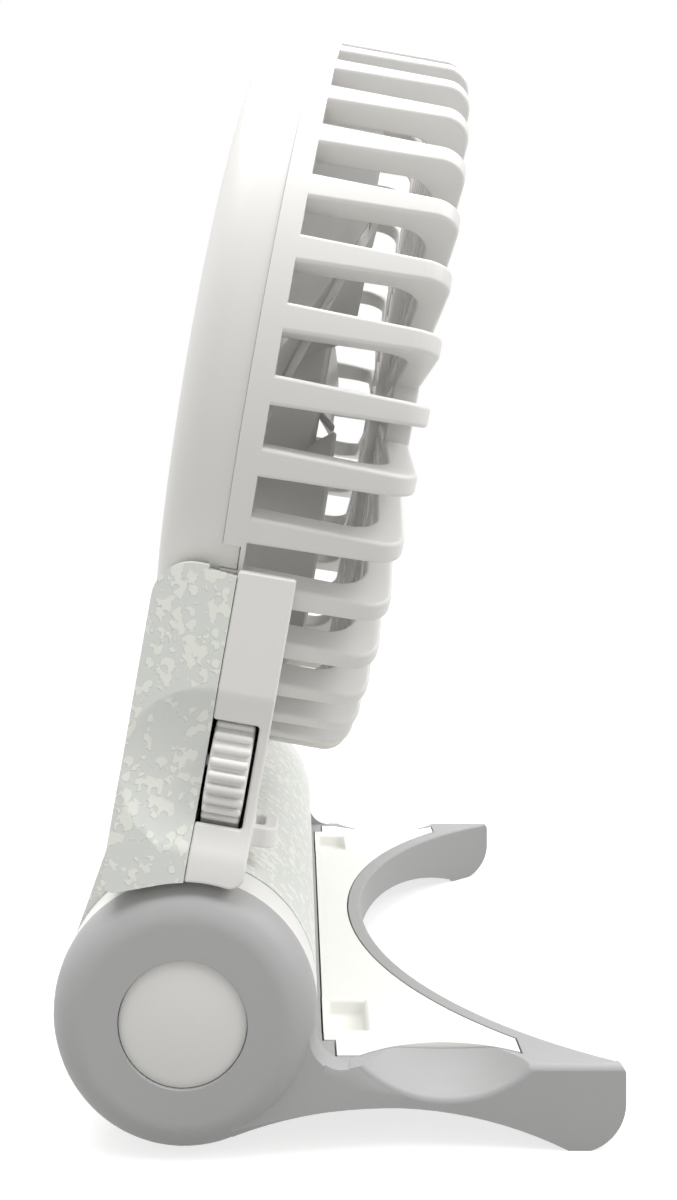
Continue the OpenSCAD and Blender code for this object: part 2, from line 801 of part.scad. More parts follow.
// Body: circuit board behind the wheel
module circuit_board() color(board_green) at_body() difference() {
    intersection() {
        body_slab(board_back, board_back + board_t, shell_wall + board_gap);
        translate([-body_half, 0, board_low]) cube([board_x, body_back, board_u]);
    }
    thumb_dish(shell_wall + board_gap);
    translate([-wheel_x, 0, wheel_rise]) rotate([-90, 0, 0])
        cylinder(h = body_back, r = axle_r + seat, $fn = 48);
    for (spot = post_spots) translate([-spot[0], 0, spot[1]]) rotate([-90, 0, 0])
        cylinder(h = body_back, r = post_r + board_gap, $fn = 32);
}

// Body: rotary speed control on the board, with its axle
module speed_control() color(steel) at_body() {
    translate([-wheel_x, -board_back, wheel_rise]) rotate([90, 0, 0]) {
        translate([0, 0, -control_t]) cylinder(h = control_t, r = control_r, $fn = 48);
        translate([0, 0, -seat])
            cylinder(h = board_t + board_gap + window_gap + wheel_w, r = axle_r, $fn = 48);
    }
}

// Body: charging socket on the right side
module charge_socket() color(steel) at_body() on_right()
    translate([-body_half + thumb_depth / 2, split_back - socket_h + seat, wheel_rise - socket_w / 2 + seat])
        difference() {
            cube([socket_l, socket_h - seat * 2, socket_w - seat * 2]);
            translate([-overrun, socket_wall, socket_wall])
                cube([socket_l, socket_h - 2 * (seat + socket_wall), socket_w - 2 * (seat + socket_wall)]);
        }

// Body: screws that hold the two shells together
module shell_screws() color(steel) at_body()
    for (side = [0, 1]) mirror([side, 0, 0]) for (spot = post_spots)
        translate([-spot[0], body_back - seat, spot[1]]) rotate([90, 0, 0]) {
            cylinder(h = screw_head_t, r = screw_head_r, $fn = 32);
            cylinder(h = body_back, r = screw_r - seat, $fn = 32);
        }

// Head: rear cover with its air inlets and the motor's seat
module rear_cover() color(warm_white) at_head() {
    cage_keys(0);
    difference() {
        rotate_extrude($fn = 256) difference() {
            cover_outline(0, 0);
            cover_outline(head_wall, overrun);
        }
        cover_holes();
    }
}

// Air inlets and motor screw holes of the rear cover
module cover_holes() {
    for (i = [0 : inlet_count - 1]) rotate([0, 0, i * 360 / inlet_count]) inlet();
    motor_screw_spots() translate([0, 0, cover_back - overrun]) {
        cylinder(h = head_wall + 2 * overrun, r = screw_r, $fn = 32);
        cylinder(h = overrun + screw_head_t / 2 + seat, r = screw_head_r + seat, $fn = 32);
    }
}

// Two keys of the rear cover that lock into the cage's band, grown by a margin
module cage_keys(margin) {
    for (side = [-latch_angle, latch_angle - 180])
        rotate([0, 0, side - latch_sweep / 2 - latch_edge * margin])
            rotate_extrude(angle = latch_sweep + 2 * latch_edge * margin, $fn = 256)
                translate([cage_r - head_wall - overrun * margin, cage_back - latch_lap])
                    square([
                        key_t + overrun * margin * 2,
                        cage_band * latch_share + latch_lap + latch_gap * margin
                    ]);
}

// Half section of the rear cover, shrunk by a wall and lengthened at its open end
module cover_outline(wall, extra) {
    translate([0, cover_back + wall]) square([cover_r - cover_round, cover_depth - wall + extra]);
    translate([0, cover_back + cover_round]) square([cover_r - wall, cover_depth - cover_round + extra]);
    intersection() {
        translate([cover_r - cover_round, cover_back + cover_round]) circle(r = cover_round - wall, $fn = 64);
        translate([cover_r - cover_round, cover_back]) square(cover_round);
    }
}

// One air inlet, a slot with round ends along the radius
module inlet() {
    translate([inlet_in, 0, cover_back - overrun]) {
        cylinder(h = head_wall + 2 * overrun, r = inlet_w / 2, $fn = 24);
        translate([inlet_out - inlet_in, 0, 0])
            cylinder(h = head_wall + 2 * overrun, r = inlet_w / 2, $fn = 24);
        translate([0, -inlet_w / 2, 0]) cube([inlet_out - inlet_in, inlet_w, head_wall + 2 * overrun]);
    }
}

// Head: front cage, a band with L-shaped ribs that turn onto the front face
module front_cage() color(warm_white) at_head() {
    difference() {
        rotate_extrude($fn = 256) translate([cage_r - head_wall, cage_back]) square([head_wall, cage_band]);
        cage_keys(1);
    }
    rotate_extrude($fn = 256) {
        translate([ring_r - ring_w, face_back + seat]) square([ring_w, rib_t - 2 * seat]);
        translate([boss_r - ring_w, face_back + seat]) square([ring_w, rib_t - 2 * seat]);
    }
    for (i = [0 : rib_count - 1]) rotate([0, 0, (i + 0.5) * 360 / rib_count]) {
        rib();
        translate([boss_r - ring_w / 2, -fine_w / 2, face_back + 2 * seat])
            cube([ring_r - boss_r, fine_w, rib_t - 4 * seat]);
    }
}

// One L-shaped rib, which narrows from its root to the front face
module rib() {
    intersection() {
        rotate([90, 0, 0]) translate([0, 0, -rib_w / 2]) linear_extrude(height = rib_w) rib_outline();
        rotate([90, 0, 90]) linear_extrude(height = cage_r + overrun) polygon([
            [-rib_w / 2, rib_root - overrun], [rib_w / 2, rib_root - overrun], [rib_w / 2, rib_root],
            [rib_front_w / 2, cage_front], [rib_front_w / 2, cage_front + overrun],
            [-rib_front_w / 2, cage_front + overrun], [-rib_front_w / 2, cage_front], [-rib_w / 2, rib_root]
        ]);
    }
}

// L-shaped outline of a rib: radius across, axis up
module rib_outline() {
    rib_low = rib_root - seat;
    ring_mid = ring_r - ring_w / 2;
    intersection() {
        difference() {
            union() {
                translate([ring_mid, rib_low]) square([cage_r - rib_round - ring_mid, cage_front - rib_low]);
                translate([ring_r, rib_low]) square([cage_r - ring_r, cage_front - rib_round - rib_low]);
                translate([cage_r - rib_round, cage_front - rib_round]) circle(r = rib_round, $fn = 48);
            }
            translate([0, rib_low - overrun])
                square([rib_in_r - rib_inner_round, face_back - rib_low + overrun]);
            translate([0, rib_low - overrun])
                square([rib_in_r, face_back - rib_inner_round - rib_low + overrun]);
            translate([rib_in_r - rib_inner_round, face_back - rib_inner_round])
                circle(r = rib_inner_round, $fn = 48);
        }
        translate([0, rib_low]) square([cage_r, cage_front - rib_low]);
    }
}

// Head: plain cap in the middle of the cage
module centre_cap() color(cap_grey) at_head() rotate_extrude($fn = 128) {
    translate([0, face_back]) square([boss_r - ring_w - seat, rib_t]);
}

// Head: motor
module motor() color(steel) at_head() difference() {
    translate([0, 0, plate_front]) cylinder(h = motor_h, r = motor_r);
    translate([0, 0, plate_front + hub_gap]) cylinder(h = motor_h, r = motor_bush_r, $fn = 48);
    motor_screw_spots() translate([0, 0, plate_front - overrun])
        cylinder(h = 2 * head_wall + overrun, r = screw_r, $fn = 32);
}

// Places of the motor's screws around its axis
module motor_screw_spots() {
    for (i = [0 : motor_screw_count - 1]) rotate([0, 0, i * 360 / motor_screw_count])
        translate([motor_r / 2, 0, 0]) children();
}

// Head: bush that the motor's shaft runs in
module motor_bush() color([0.75, 0.6, 0.35]) at_head() difference() {
    translate([0, 0, plate_front + hub_gap + seat])
        cylinder(h = motor_h - hub_gap - seat, r = motor_bush_r - seat, $fn = 48);
    translate([0, 0, plate_front + hub_gap * 2]) cylinder(h = motor_h, r = shaft_r + pivot_clear, $fn = 48);
}

// Head: screws that hold the motor to the rear cover
module motor_screws() color(steel) at_head() motor_screw_spots() translate([0, 0, cover_back]) {
    cylinder(h = screw_head_t / 2, r = screw_head_r, $fn = 32);
    cylinder(h = 2 * head_wall, r = screw_r - seat, $fn = 32);
}

// Thumb wheel with rounded grip ribs
module thumb_wheel() color(warm_white) at_body()
    translate([-wheel_x, -wheel_n + wheel_w / 2, wheel_rise]) rotate([90, 0, 0]) difference() {
        union() {
            cylinder(h = wheel_w, r = wheel_r - grip_r);
            for (i = [0 : grip_count - 1]) rotate([0, 0, i * 360 / grip_count])
                translate([wheel_r - grip_r - seat, 0, seat])
                    cylinder(h = wheel_w - 2 * seat, r = grip_r, $fn = 24);
        }
        translate([0, 0, -overrun]) cylinder(h = wheel_w + 2 * overrun, r = axle_r + pivot_clear, $fn = 48);
    }

// Impeller with its hub and swept blades
module impeller() color(stone_white) at_head() {
    difference() {
        translate([0, 0, blade_back]) cylinder(h = hub_front - blade_back, r = hub_r);
        difference() {
            translate([0, 0, blade_back - overrun])
                cylinder(h = hub_front - hub_wall - blade_back + overrun, r = hub_r - hub_wall);
            translate([0, 0, motor_front + hub_gap / 2]) cylinder(h = hub_gap, r = hub_boss_r, $fn = 48);
        }
        translate([0, 0, blade_back])
            cylinder(h = hub_front - blade_back + overrun, r = shaft_r + seat, $fn = 48);
    }
    for (i = [0 : blade_count - 1]) rotate([0, 0, i * 360 / blade_count]) blade();
}

// One blade: a curved sheet that twists along the axis, trimmed to a round tip
module blade() {
    bend_r = blade_r * blade_bend_share;
    intersection() {
        translate([0, 0, blade_back + blade_inset])
            linear_extrude(height = blade_h, twist = blade_turn, slices = 6) difference() {
                translate(blade_r * blade_mid_share) circle(r = bend_r, $fn = 56);
                translate(blade_r * blade_mid_share) circle(r = bend_r - blade_t, $fn = 56);
                translate([-blade_r * 2, 0]) square([blade_r * 4, blade_r * 2]);
                translate([-blade_r * 2, -blade_r * 2]) square([blade_r * 2, blade_r * 4]);
            }
        difference() {
            translate([0, 0, blade_back]) cylinder(h = blade_h + overrun, r = blade_r, $fn = 72);
            translate([0, 0, blade_back - overrun])
                cylinder(h = blade_h + 2 * overrun, r = hub_r - hub_wall / 2);
        }
    }
}

// Motor shaft, pressed into the impeller
module motor_shaft() color(steel) at_head() translate([0, 0, plate_front + hub_gap * 2])
    cylinder(h = hub_front - plate_front - hub_gap * 2, r = shaft_r, $fn = 48);

base_frame();
base_panel();
ear_cover();  // ear_cover_left
on_right() ear_cover();  // ear_cover_right
ear_cap();  // ear_cap_left
on_right() ear_cap();  // ear_cap_right
pivot_screw();  // pivot_screw_left
on_right() pivot_screw();  // pivot_screw_right
hinge_washers();
rear_shell();
front_shell();
hinge_bush();  // hinge_bush_left
on_right() hinge_bush();  // hinge_bush_right
battery_cradle();
battery_cell();
battery_contacts();
circuit_board();
speed_control();
charge_socket();
shell_screws();
rear_cover();
front_cage();
centre_cap();
motor();
motor_bush();
motor_screws();
thumb_wheel();
impeller();
motor_shaft();
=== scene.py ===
"""Folding desk and hand fan, dressed for a plain studio picture.

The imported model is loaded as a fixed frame, and each sub-assembly is a class that models and dresses its
pieces in that frame: the base, the body, the head, the thumb wheel and the impeller. Sizes are in
millimetres until a mesh is made.
"""

import json
import logging
from collections.abc import Callable
from dataclasses import dataclass
from enum import Enum
from functools import partial
from math import atan2, cos, degrees, hypot, radians, sin, sqrt
from typing import Any

import bmesh
import bpy
from mathutils import Matrix, Vector


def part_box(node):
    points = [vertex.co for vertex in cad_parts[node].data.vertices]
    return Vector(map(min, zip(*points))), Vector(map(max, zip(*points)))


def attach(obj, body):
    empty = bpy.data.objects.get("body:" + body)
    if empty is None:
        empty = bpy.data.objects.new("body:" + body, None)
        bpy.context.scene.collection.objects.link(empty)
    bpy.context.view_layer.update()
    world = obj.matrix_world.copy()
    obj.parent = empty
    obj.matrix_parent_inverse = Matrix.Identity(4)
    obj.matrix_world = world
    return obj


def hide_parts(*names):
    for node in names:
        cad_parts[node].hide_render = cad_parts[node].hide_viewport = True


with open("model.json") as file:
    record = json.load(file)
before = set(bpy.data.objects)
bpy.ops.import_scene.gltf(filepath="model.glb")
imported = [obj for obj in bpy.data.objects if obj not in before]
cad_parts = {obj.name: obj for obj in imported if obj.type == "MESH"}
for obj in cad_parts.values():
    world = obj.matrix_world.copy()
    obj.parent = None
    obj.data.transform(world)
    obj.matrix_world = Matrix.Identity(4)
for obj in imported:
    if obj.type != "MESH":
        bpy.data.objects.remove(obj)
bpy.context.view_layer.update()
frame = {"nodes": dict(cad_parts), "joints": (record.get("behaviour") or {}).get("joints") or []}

MM = 0.001
# millimetres within which two places are the same
NEAR = 0.01
# least height of the normal of a face that points along Z
FACING = 0.9
# degrees from which an edge is a corner
SHARP = 50.0
# degrees from which an edge is shaded as a crease, and how much flat faces outweigh curved ones
CREASE = 38.0
FLAT_WEIGHT = 80
# degrees up to which faces of the frame count as one flat face
FLAT_ANGLE = 0.4
# millimetres within which vertices are merged, and steps of curves
MERGE = 0.001
COPY_MERGE = 0.002
ARC_STEPS = 8
SPIN_DEGREES = 3
# share of a bar's half width that rounds its end, just short of closing up
ROUND_SHARE = 0.99
ABS_IOR = 1.53
WHITE = "#FFFFFF"
PHOTO_SIZE = (677, 1200)
LOG = logging.getLogger("fan")

Piece = bpy.types.Object
Colour = tuple[float, float, float, float]
Node = bpy.types.Node
Socket = bpy.types.NodeSocket
Material = bpy.types.Material
Adder = Callable[..., Node]
Test = Callable[[Any], bool]
Profile = list[tuple[float, float]]


class CadBody(Enum):
    """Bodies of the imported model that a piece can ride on."""

    BASE = "base"
    BODY = "body"
    WHEEL = "wheel"
    FAN = "fan"


class Slot(Enum):
    """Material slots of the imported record."""

    GREY = "grey_plastic"
    PANEL = "panel_plastic"
    CAP = "cap_plastic"
    WHITE = "white_plastic"
    SPECKLED = "speckled_plastic"
    BLADE = "blade_plastic"
    STEEL = "steel"
    BRASS = "bush_brass"
    JACKET = "cell_jacket"
    LAMINATE = "board_laminate"


class Ends(Enum):
    """How a new cylinder's ends are closed."""

    FLAT = "NGON"
    OPEN = "NOTHING"


def srgb(code: str) -> Colour:
    """Turn an sRGB hex colour into linear values.

    Args:
        code: The colour as #RRGGBB.

    Returns:
        Linear red, green and blue, and an alpha of one.
    """
    shares = [int(code[i : i + 2], 16) / 255 for i in (1, 3, 5)]
    linear = [s / 12.92 if s <= 0.04045 else ((s + 0.055) / 1.055) ** 2.4 for s in shares]
    return (linear[0], linear[1], linear[2], 1.0)


def per_mm(size: float) -> float:
    """Return the texture scale at which a pattern's cell is size millimetres across."""
    return 1 / (size * MM)


def add_node(
    tree: bpy.types.NodeTree,
    kind: str,
    settings: dict[Any, Any] | None = None,
    links: dict[Any, Node | Socket] | None = None,
) -> Node:
    """Add a shader node with its settings and links.

    Args:
        tree: The node tree.
        kind: The node's type, without its common beginning.
        settings: Values by input name, input number or property name.
        links: What feeds each input, by its name or number: a socket, or a node's first output.

    Returns:
        The new node.
    """
    node = tree.nodes.new("ShaderNode" + kind)
    for key, value in (settings or {}).items():
        if isinstance(key, int) or key in node.inputs:
            node.inputs[key].default_value = value
        else:
            setattr(node, key, value)
    for key, source in (links or {}).items():
        tree.links.new(source.outputs[0] if isinstance(source, Node) else source, node.inputs[key])
    return node


def ranges(to_min: float, to_max: float, from_min: float = 0.0, from_max: float = 1.0) -> dict[str, float]:
    """Return the settings of a node that maps one range of values to another."""
    return {"From Min": from_min, "From Max": from_max, "To Min": to_min, "To Max": to_max}


def empty_tree(owner: Material | bpy.types.World) -> Adder:
    """Clear the node tree of a material or world.

    Args:
        owner: The material or world.

    Returns:
        What adds nodes to its tree.
    """
    owner.use_nodes = True
    owner.node_tree.nodes.clear()
    return partial(add_node, owner.node_tree)


def new_material(name: str) -> tuple[Material, Adder, Socket]:
    """Start a material with an empty tree.

    Args:
        name: The finish's name.

    Returns:
        The material, what adds nodes to it and the Object coordinates that its patterns read.
    """
    material = bpy.data.materials.new(name)
    add = empty_tree(material)
    return material, add, add("TexCoord").outputs["Object"]


def close_material(add: Adder, settings: dict[str, Any], links: dict[str, Node | Socket]) -> None:
    """End a material in a Principled shader with these constant values and links."""
    add("OutputMaterial", links={"Surface": add("BsdfPrincipled", settings, links)})


@dataclass(frozen=True)
class MouldedPlastic:
    """Injection-moulded ABS: an even colour that drifts a little, and a fine matt grain from the mould."""

    name: str
    colour: str
    drift: str
    roughness: float = 0.5
    glossier: float = 0.05
    duller: float = 0.07
    # the grain's values between which its gloss changes
    grain_span: tuple[float, float] = (0.3, 0.7)
    grain: float = 0.5
    grain_depth: float = 0.006
    bump: float = 0.5
    drift_size: float = 22.0

    def make(self) -> Material:
        """Build the material.

        Returns:
            The material.
        """
        material, add, place = new_material(self.name)
        # the mould's grain is about 0.1 mm, and is drawn coarser so that it shows in the picture
        grain = add("TexNoise", {"Scale": per_mm(self.grain), "Detail": 3.0}, {"Vector": place})
        drift = add("TexNoise", {"Scale": per_mm(self.drift_size), "Detail": 1.0}, {"Vector": place})
        colour = add("Mix", {"data_type": "RGBA", 6: srgb(self.colour), 7: srgb(self.drift)}, {0: drift})
        span = ranges(self.roughness - self.glossier, self.roughness + self.duller, *self.grain_span)
        gloss = add("MapRange", span, {"Value": grain})
        bump = add("Bump", {"Strength": self.bump, "Distance": self.grain_depth * MM}, {"Height": grain})
        close_material(
            add, {"IOR": ABS_IOR}, {"Base Color": colour.outputs[2], "Roughness": gloss, "Normal": bump}
        )
        return material


@dataclass(frozen=True)
class FlakedPlastic:
    """Moulded ABS with paler flakes stirred in: irregular chips and crescents that stand a little proud."""

    name: str
    colour: str
    flake: str
    flake_size: float = 1.3
    # smallest and largest flake, and the range of a cell's random value that gives them
    flake_reach: tuple[float, float] = (0.15, 0.75)
    flake_luck: tuple[float, float] = (0.32, 0.65)
    flake_edge: float = 0.04
    ragged: float = 0.6
    bite: float = 0.42
    bite_reach: float = 0.36
    relief: float = 0.07
    roughness: float = 0.55
    grain: float = 0.6
    grain_depth: float = 0.01
    grain_bump: float = 0.4
    flake_bump: float = 0.8

    def make(self) -> Material:
        """Build the material.

        Returns:
            The material.
        """
        material, add, place = new_material(self.name)
        tear = add("TexNoise", {"Scale": per_mm(self.ragged), "Detail": 2.0}, {"Vector": place})
        pull = {"operation": "MULTIPLY_ADD", 1: (self.ragged * MM,) * 3, 2: (0.0, 0.0, 0.0)}
        pulled = add("VectorMath", pull, {0: tear.outputs["Color"]})
        torn = add("VectorMath", {"operation": "ADD"}, {0: place, 1: pulled})
        aside = (self.bite * MM, -self.bite * MM, self.bite * MM)
        shifted = add("VectorMath", {"operation": "ADD", 1: aside}, {0: torn})
        cells = add("TexVoronoi", {"Scale": per_mm(self.flake_size)}, {"Vector": torn})
        bites = add("TexVoronoi", {"Scale": per_mm(self.flake_size)}, {"Vector": shifted})
        # a cell's random colour sets how large its flake is, and leaves about half the cells bare
        span = ranges(*self.flake_reach, *self.flake_luck)
        reach = add("MapRange", span, {"Value": cells.outputs["Color"]})
        inside = add("Math", {"operation": "SUBTRACT"}, {0: reach, 1: cells})
        outside = add("Math", {"operation": "SUBTRACT", 1: self.bite_reach}, {0: bites})
        both = add("Math", {"operation": "MINIMUM"}, {0: inside, 1: outside})
        mask = add("MapRange", ranges(0.0, 1.0, 0.0, self.flake_edge), {"Value": both})
        colour = add("Mix", {"data_type": "RGBA", 6: srgb(self.colour), 7: srgb(self.flake)}, {0: mask})
        grain = add("TexNoise", {"Scale": per_mm(self.grain), "Detail": 2.0}, {"Vector": place})
        fine = {"Strength": self.grain_bump, "Distance": self.grain_depth * MM}
        fine = add("Bump", fine, {"Height": grain})
        proud = {"Strength": self.flake_bump, "Distance": self.relief * MM}
        bump = add("Bump", proud, {"Height": mask, "Normal": fine})
        shine = {"IOR": ABS_IOR, "Roughness": self.roughness}
        close_material(add, shine, {"Base Color": colour.outputs[2], "Normal": bump})
        return material


@dataclass(frozen=True)
class DrawnMetal:
    """Plated or turned metal: a satin sheen broken by fine lines around or along the piece."""

    name: str
    colour: str
    roughness: float = 0.3
    glossier: float = 0.08
    duller: float = 0.12
    line: float = 0.15
    line_depth: float = 0.004
    bump: float = 0.3
    stretch: float = 0.05

    def make(self) -> Material:
        """Build the material.

        Returns:
            The material.
        """
        material, add, place = new_material(self.name)
        stretched = add("Mapping", {"Scale": (self.stretch, 1.0, 1.0)}, {"Vector": place})
        lines = add("TexNoise", {"Scale": per_mm(self.line), "Detail": 2.0}, {"Vector": stretched})
        span = ranges(self.roughness - self.glossier, self.roughness + self.duller)
        gloss = add("MapRange", span, {"Value": lines})
        bump = add("Bump", {"Strength": self.bump, "Distance": self.line_depth * MM}, {"Height": lines})
        close_material(
            add, {"Base Color": srgb(self.colour), "Metallic": 1.0}, {"Roughness": gloss, "Normal": bump}
        )
        return material


class Finishes:
    """The finishes of the fan, each built once."""

    def __init__(self) -> None:
        """Build every finish."""
        finishes = {
            Slot.GREY: MouldedPlastic("grey_abs_moulded", "#A9A9A9", "#A5A5A5"),
            Slot.PANEL: MouldedPlastic("panel_abs_moulded", "#F4F3EF", "#F1F1ED", roughness=0.45),
            Slot.CAP: MouldedPlastic("cap_abs_moulded", "#DAD9D6", "#D7D6D3", roughness=0.42),
            Slot.WHITE: MouldedPlastic("warm_white_abs_moulded", "#E6E4E1", "#E3E2E0", roughness=0.42),
            Slot.SPECKLED: FlakedPlastic("flaked_abs_moulded", "#DCDEDA", "#EBECE4"),
            # painted shade: the blades are the same white plastic, given a greyer colour that stands in for
            # the shade inside the head
            Slot.BLADE: MouldedPlastic("blade_abs_moulded", "#CBCAC8", "#C7C6C4", roughness=0.35),
            Slot.STEEL: DrawnMetal("zinc_plated_steel", "#B9BBBF"),
            Slot.BRASS: DrawnMetal("turned_brass", "#C7A05C"),
            Slot.JACKET: MouldedPlastic("pvc_shrink_jacket", "#3473B3", "#2F6BA8", roughness=0.3),
            Slot.LAMINATE: MouldedPlastic("lacquered_glass_laminate", "#1E6640", "#1A5A38", roughness=0.3),
        }
        self.by_slot = {slot: finish.make() for slot, finish in finishes.items()}

    def dress(self, piece: Piece, slot: Slot) -> None:
        """Give a piece one finish and name its slot.

        Args:
            piece: The piece.
            slot: The record's slot that the finish stands for.
        """
        piece.data.materials.clear()
        piece.data.materials.append(self.by_slot[slot])


def deselect() -> None:
    """Leave edit mode and deselect every object."""
    if bpy.context.mode != "OBJECT":
        bpy.ops.object.mode_set(mode="OBJECT")
    bpy.ops.object.select_all(action="DESELECT")


def pick(*pieces: Piece) -> None:
    """Select some pieces alone.

    Args:
        pieces: The pieces, of which the first becomes active.
    """
    deselect()
    for piece in pieces:
        piece.select_set(True)
    bpy.context.view_layer.objects.active = pieces[0]


@dataclass
class Editing:
    """Edit mode on one piece, with nothing selected at the start."""

    piece: Piece

    def __enter__(self) -> "Editing":
        """Enter edit mode.

        Returns:
            What selects parts of the mesh.
        """
        pick(self.piece)
        bpy.ops.object.mode_set(mode="EDIT")
        bpy.ops.mesh.select_mode(type="VERT")
        bpy.ops.mesh.select_all(action="DESELECT")
        return self

    def __exit__(self, *reason: object) -> None:
        """Leave edit mode, whatever the reason."""
        bpy.ops.object.mode_set(mode="OBJECT")

    def _choose(self, mode: str, layer: str, test: Test) -> None:
        """Select the elements of one kind that pass a test.

        Args:
            mode: Blender's select mode.
            layer: The bmesh sequence to look through.
            test: Says whether an element is selected.
        """
        bpy.ops.mesh.select_mode(type=mode)
        bpy.ops.mesh.select_all(action="DESELECT")
        mesh = bmesh.from_edit_mesh(self.piece.data)
        for item in filter(test, getattr(mesh, layer)):
            item.select_set(True)
        mesh.select_flush_mode()
        bmesh.update_edit_mesh(self.piece.data)

    def everything(self) -> None:
        """Select all of the mesh."""
        bpy.ops.mesh.select_all(action="SELECT")

    def faces(self, test: Test) -> None:
        """Select the faces that pass a test."""
        self._choose("FACE", "faces", test)

    def edges(self, test: Test) -> None:
        """Select the edges that pass a test."""
        self._choose("EDGE", "edges", test)

    def points(self, test: Test) -> None:
        """Select the vertices that pass a test."""
        self._choose("VERT", "verts", test)


def middle(edge: Any) -> Vector:
    """Return the middle of an edge, in millimetres."""
    return (edge.verts[0].co + edge.verts[1].co) / 2 / MM


def rise_of(edge: Any) -> float:
    """Return how far an edge rises, in millimetres."""
    return abs(edge.verts[0].co.z - edge.verts[1].co.z) / MM


def at_height(z: float) -> Test:
    """Return a test for the edges whose middle is at a height."""
    return lambda edge: abs(middle(edge).z - z) < NEAR


def at_corner(x: float, z: float) -> Test:
    """Return a test for the vertex at a corner of a profile in the XZ plane."""
    return lambda point: (point.co / MM - Vector((x, 0, z))).length < NEAR


def looks_up(face: Any) -> bool:
    """Say whether a face points along Z."""
    return face.normal.z > FACING


def is_sharp(edge: Any) -> bool:
    """Say whether an edge is a corner rather than a step of a curve."""
    return edge.calc_face_angle(0) > radians(SHARP)


def extrude(x: float, y: float, z: float) -> None:
    """Extrude what is selected, by millimetres."""
    bpy.ops.mesh.extrude_region_move(TRANSFORM_OT_translate={"value": (x * MM, y * MM, z * MM)})


def move(x: float, y: float, z: float) -> None:
    """Move what is selected, by millimetres."""
    bpy.ops.transform.translate(value=(x * MM, y * MM, z * MM))


def inset(width: float) -> None:
    """Inset the selected faces by a width in millimetres."""
    bpy.ops.mesh.inset(thickness=width * MM)


def bevel(width: float, segments: int, affect: str = "EDGES") -> None:
    """Round the selected edges or vertices over a width in millimetres."""
    bpy.ops.mesh.bevel(offset=width * MM, segments=segments, affect=affect)


def turn_by(piece: Piece, angle: float) -> None:
    """Turn a piece's mesh around Z, by degrees."""
    piece.data.transform(Matrix.Rotation(radians(angle), 4, "Z"))


def shift_by(piece: Piece, x: float) -> None:
    """Move a piece's mesh along X, by millimetres."""
    piece.data.transform(Matrix.Translation((x * MM, 0, 0)))


def apply_modifier(piece: Piece, kind: str, **settings: Any) -> None:
    """Add a modifier with its settings and apply it.

    Args:
        piece: The piece.
        kind: The modifier's type.
        settings: The modifier's properties.
    """
    pick(piece)
    modifier = piece.modifiers.new(kind.lower(), kind)
    for key, value in settings.items():
        setattr(modifier, key, value)
    bpy.ops.object.modifier_apply(modifier=modifier.name)


def thicken(piece: Piece, wall: float, offset: float = -1.0, even: bool = True) -> None:
    """Give a surface a wall, in millimetres, inwards unless the offset says otherwise."""
    apply_modifier(piece, "SOLIDIFY", thickness=wall * MM, offset=offset, use_even_offset=even)


def soften(piece: Piece, width: float, segments: int = 2, angle: float = 32.0) -> None:
    """Round a piece's sharp edges, as a moulded or turned edge is.

    Args:
        piece: The piece.
        width: Width of the rounding in millimetres.
        segments: Faces across the rounding.
        angle: Edges sharper than this many degrees are rounded.
    """
    size = {"width": width * MM, "segments": segments, "angle_limit": radians(angle)}
    apply_modifier(
        piece, "BEVEL", limit_method="ANGLE", use_clamp_overlap=False, miter_outer="MITER_ARC", **size
    )


def smooth(piece: Piece) -> None:
    """Shade a piece smooth across all but its sharp edges, with flat faces kept flat.

    Args:
        piece: The piece.
    """
    pick(piece)
    bpy.ops.object.shade_smooth_by_angle(angle=radians(CREASE))
    apply_modifier(piece, "WEIGHTED_NORMAL", keep_sharp=True, weight=FLAT_WEIGHT)


def add_cylinder(
    name: str, radius: float, low: float, high: float, sides: int, ends: Ends = Ends.FLAT
) -> Piece:
    """Add a cylinder along Z.

    Args:
        name: The piece's name.
        radius: Radius in millimetres.
        low: Lower end in millimetres.
        high: Upper end in millimetres.
        sides: Number of sides.
        ends: How its ends are closed.

    Returns:
        The new piece.
    """
    deselect()
    bpy.ops.mesh.primitive_cylinder_add(
        vertices=sides,
        radius=radius * MM,
        depth=(high - low) * MM,
        location=(0, 0, (low + high) / 2 * MM),
        end_fill_type=ends.value,
    )
    return named_at_origin(name)


def add_bar(name: str, ends: tuple[float, float], width: float, heights: tuple[float, float]) -> Piece:
    """Add a box that lies along X, half of its width on each side.

    Args:
        name: The piece's name.
        ends: Where it starts and ends along X, in millimetres.
        width: Its width along Y.
        heights: Its lower and upper side.

    Returns:
        The new piece.
    """
    deselect()
    first = Vector((ends[0], -width / 2, heights[0])) * MM
    last = Vector((ends[1], width / 2, heights[1])) * MM
    bpy.ops.mesh.primitive_cube_add(size=1, location=(first + last) / 2, scale=last - first)
    return named_at_origin(name)


def named_at_origin(name: str) -> Piece:
    """Name the active object and put its place in its mesh.

    Args:
        name: The piece's name.

    Returns:
        The active object.
    """
    bpy.ops.object.transform_apply(location=True, rotation=True, scale=True)
    piece = bpy.context.object
    piece.name = name
    piece.data.name = name
    return piece


def join(name: str, pieces: list[Piece]) -> Piece:
    """Join pieces into one.

    Args:
        name: The joined piece's name.
        pieces: The pieces to join.

    Returns:
        The joined piece.
    """
    pick(*pieces)
    bpy.ops.object.join()
    return named_at_origin(name)


def turned_copies(piece: Piece, count: int, first: float = 0.0) -> list[Piece]:
    """Spread copies of a piece evenly around Z, each with its own mesh.

    Args:
        piece: The piece, which becomes the first of them.
        count: How many there are in all.
        first: How far the first one is turned, as a share of the step between two.

    Returns:
        All the pieces.
    """
    pieces = [piece]
    for _ in range(count - 1):
        pick(piece)
        bpy.ops.object.duplicate()
        pieces.append(bpy.context.object)
    for i, each in enumerate(pieces):
        turn_by(each, (first + i) * (360 / count))
    return pieces


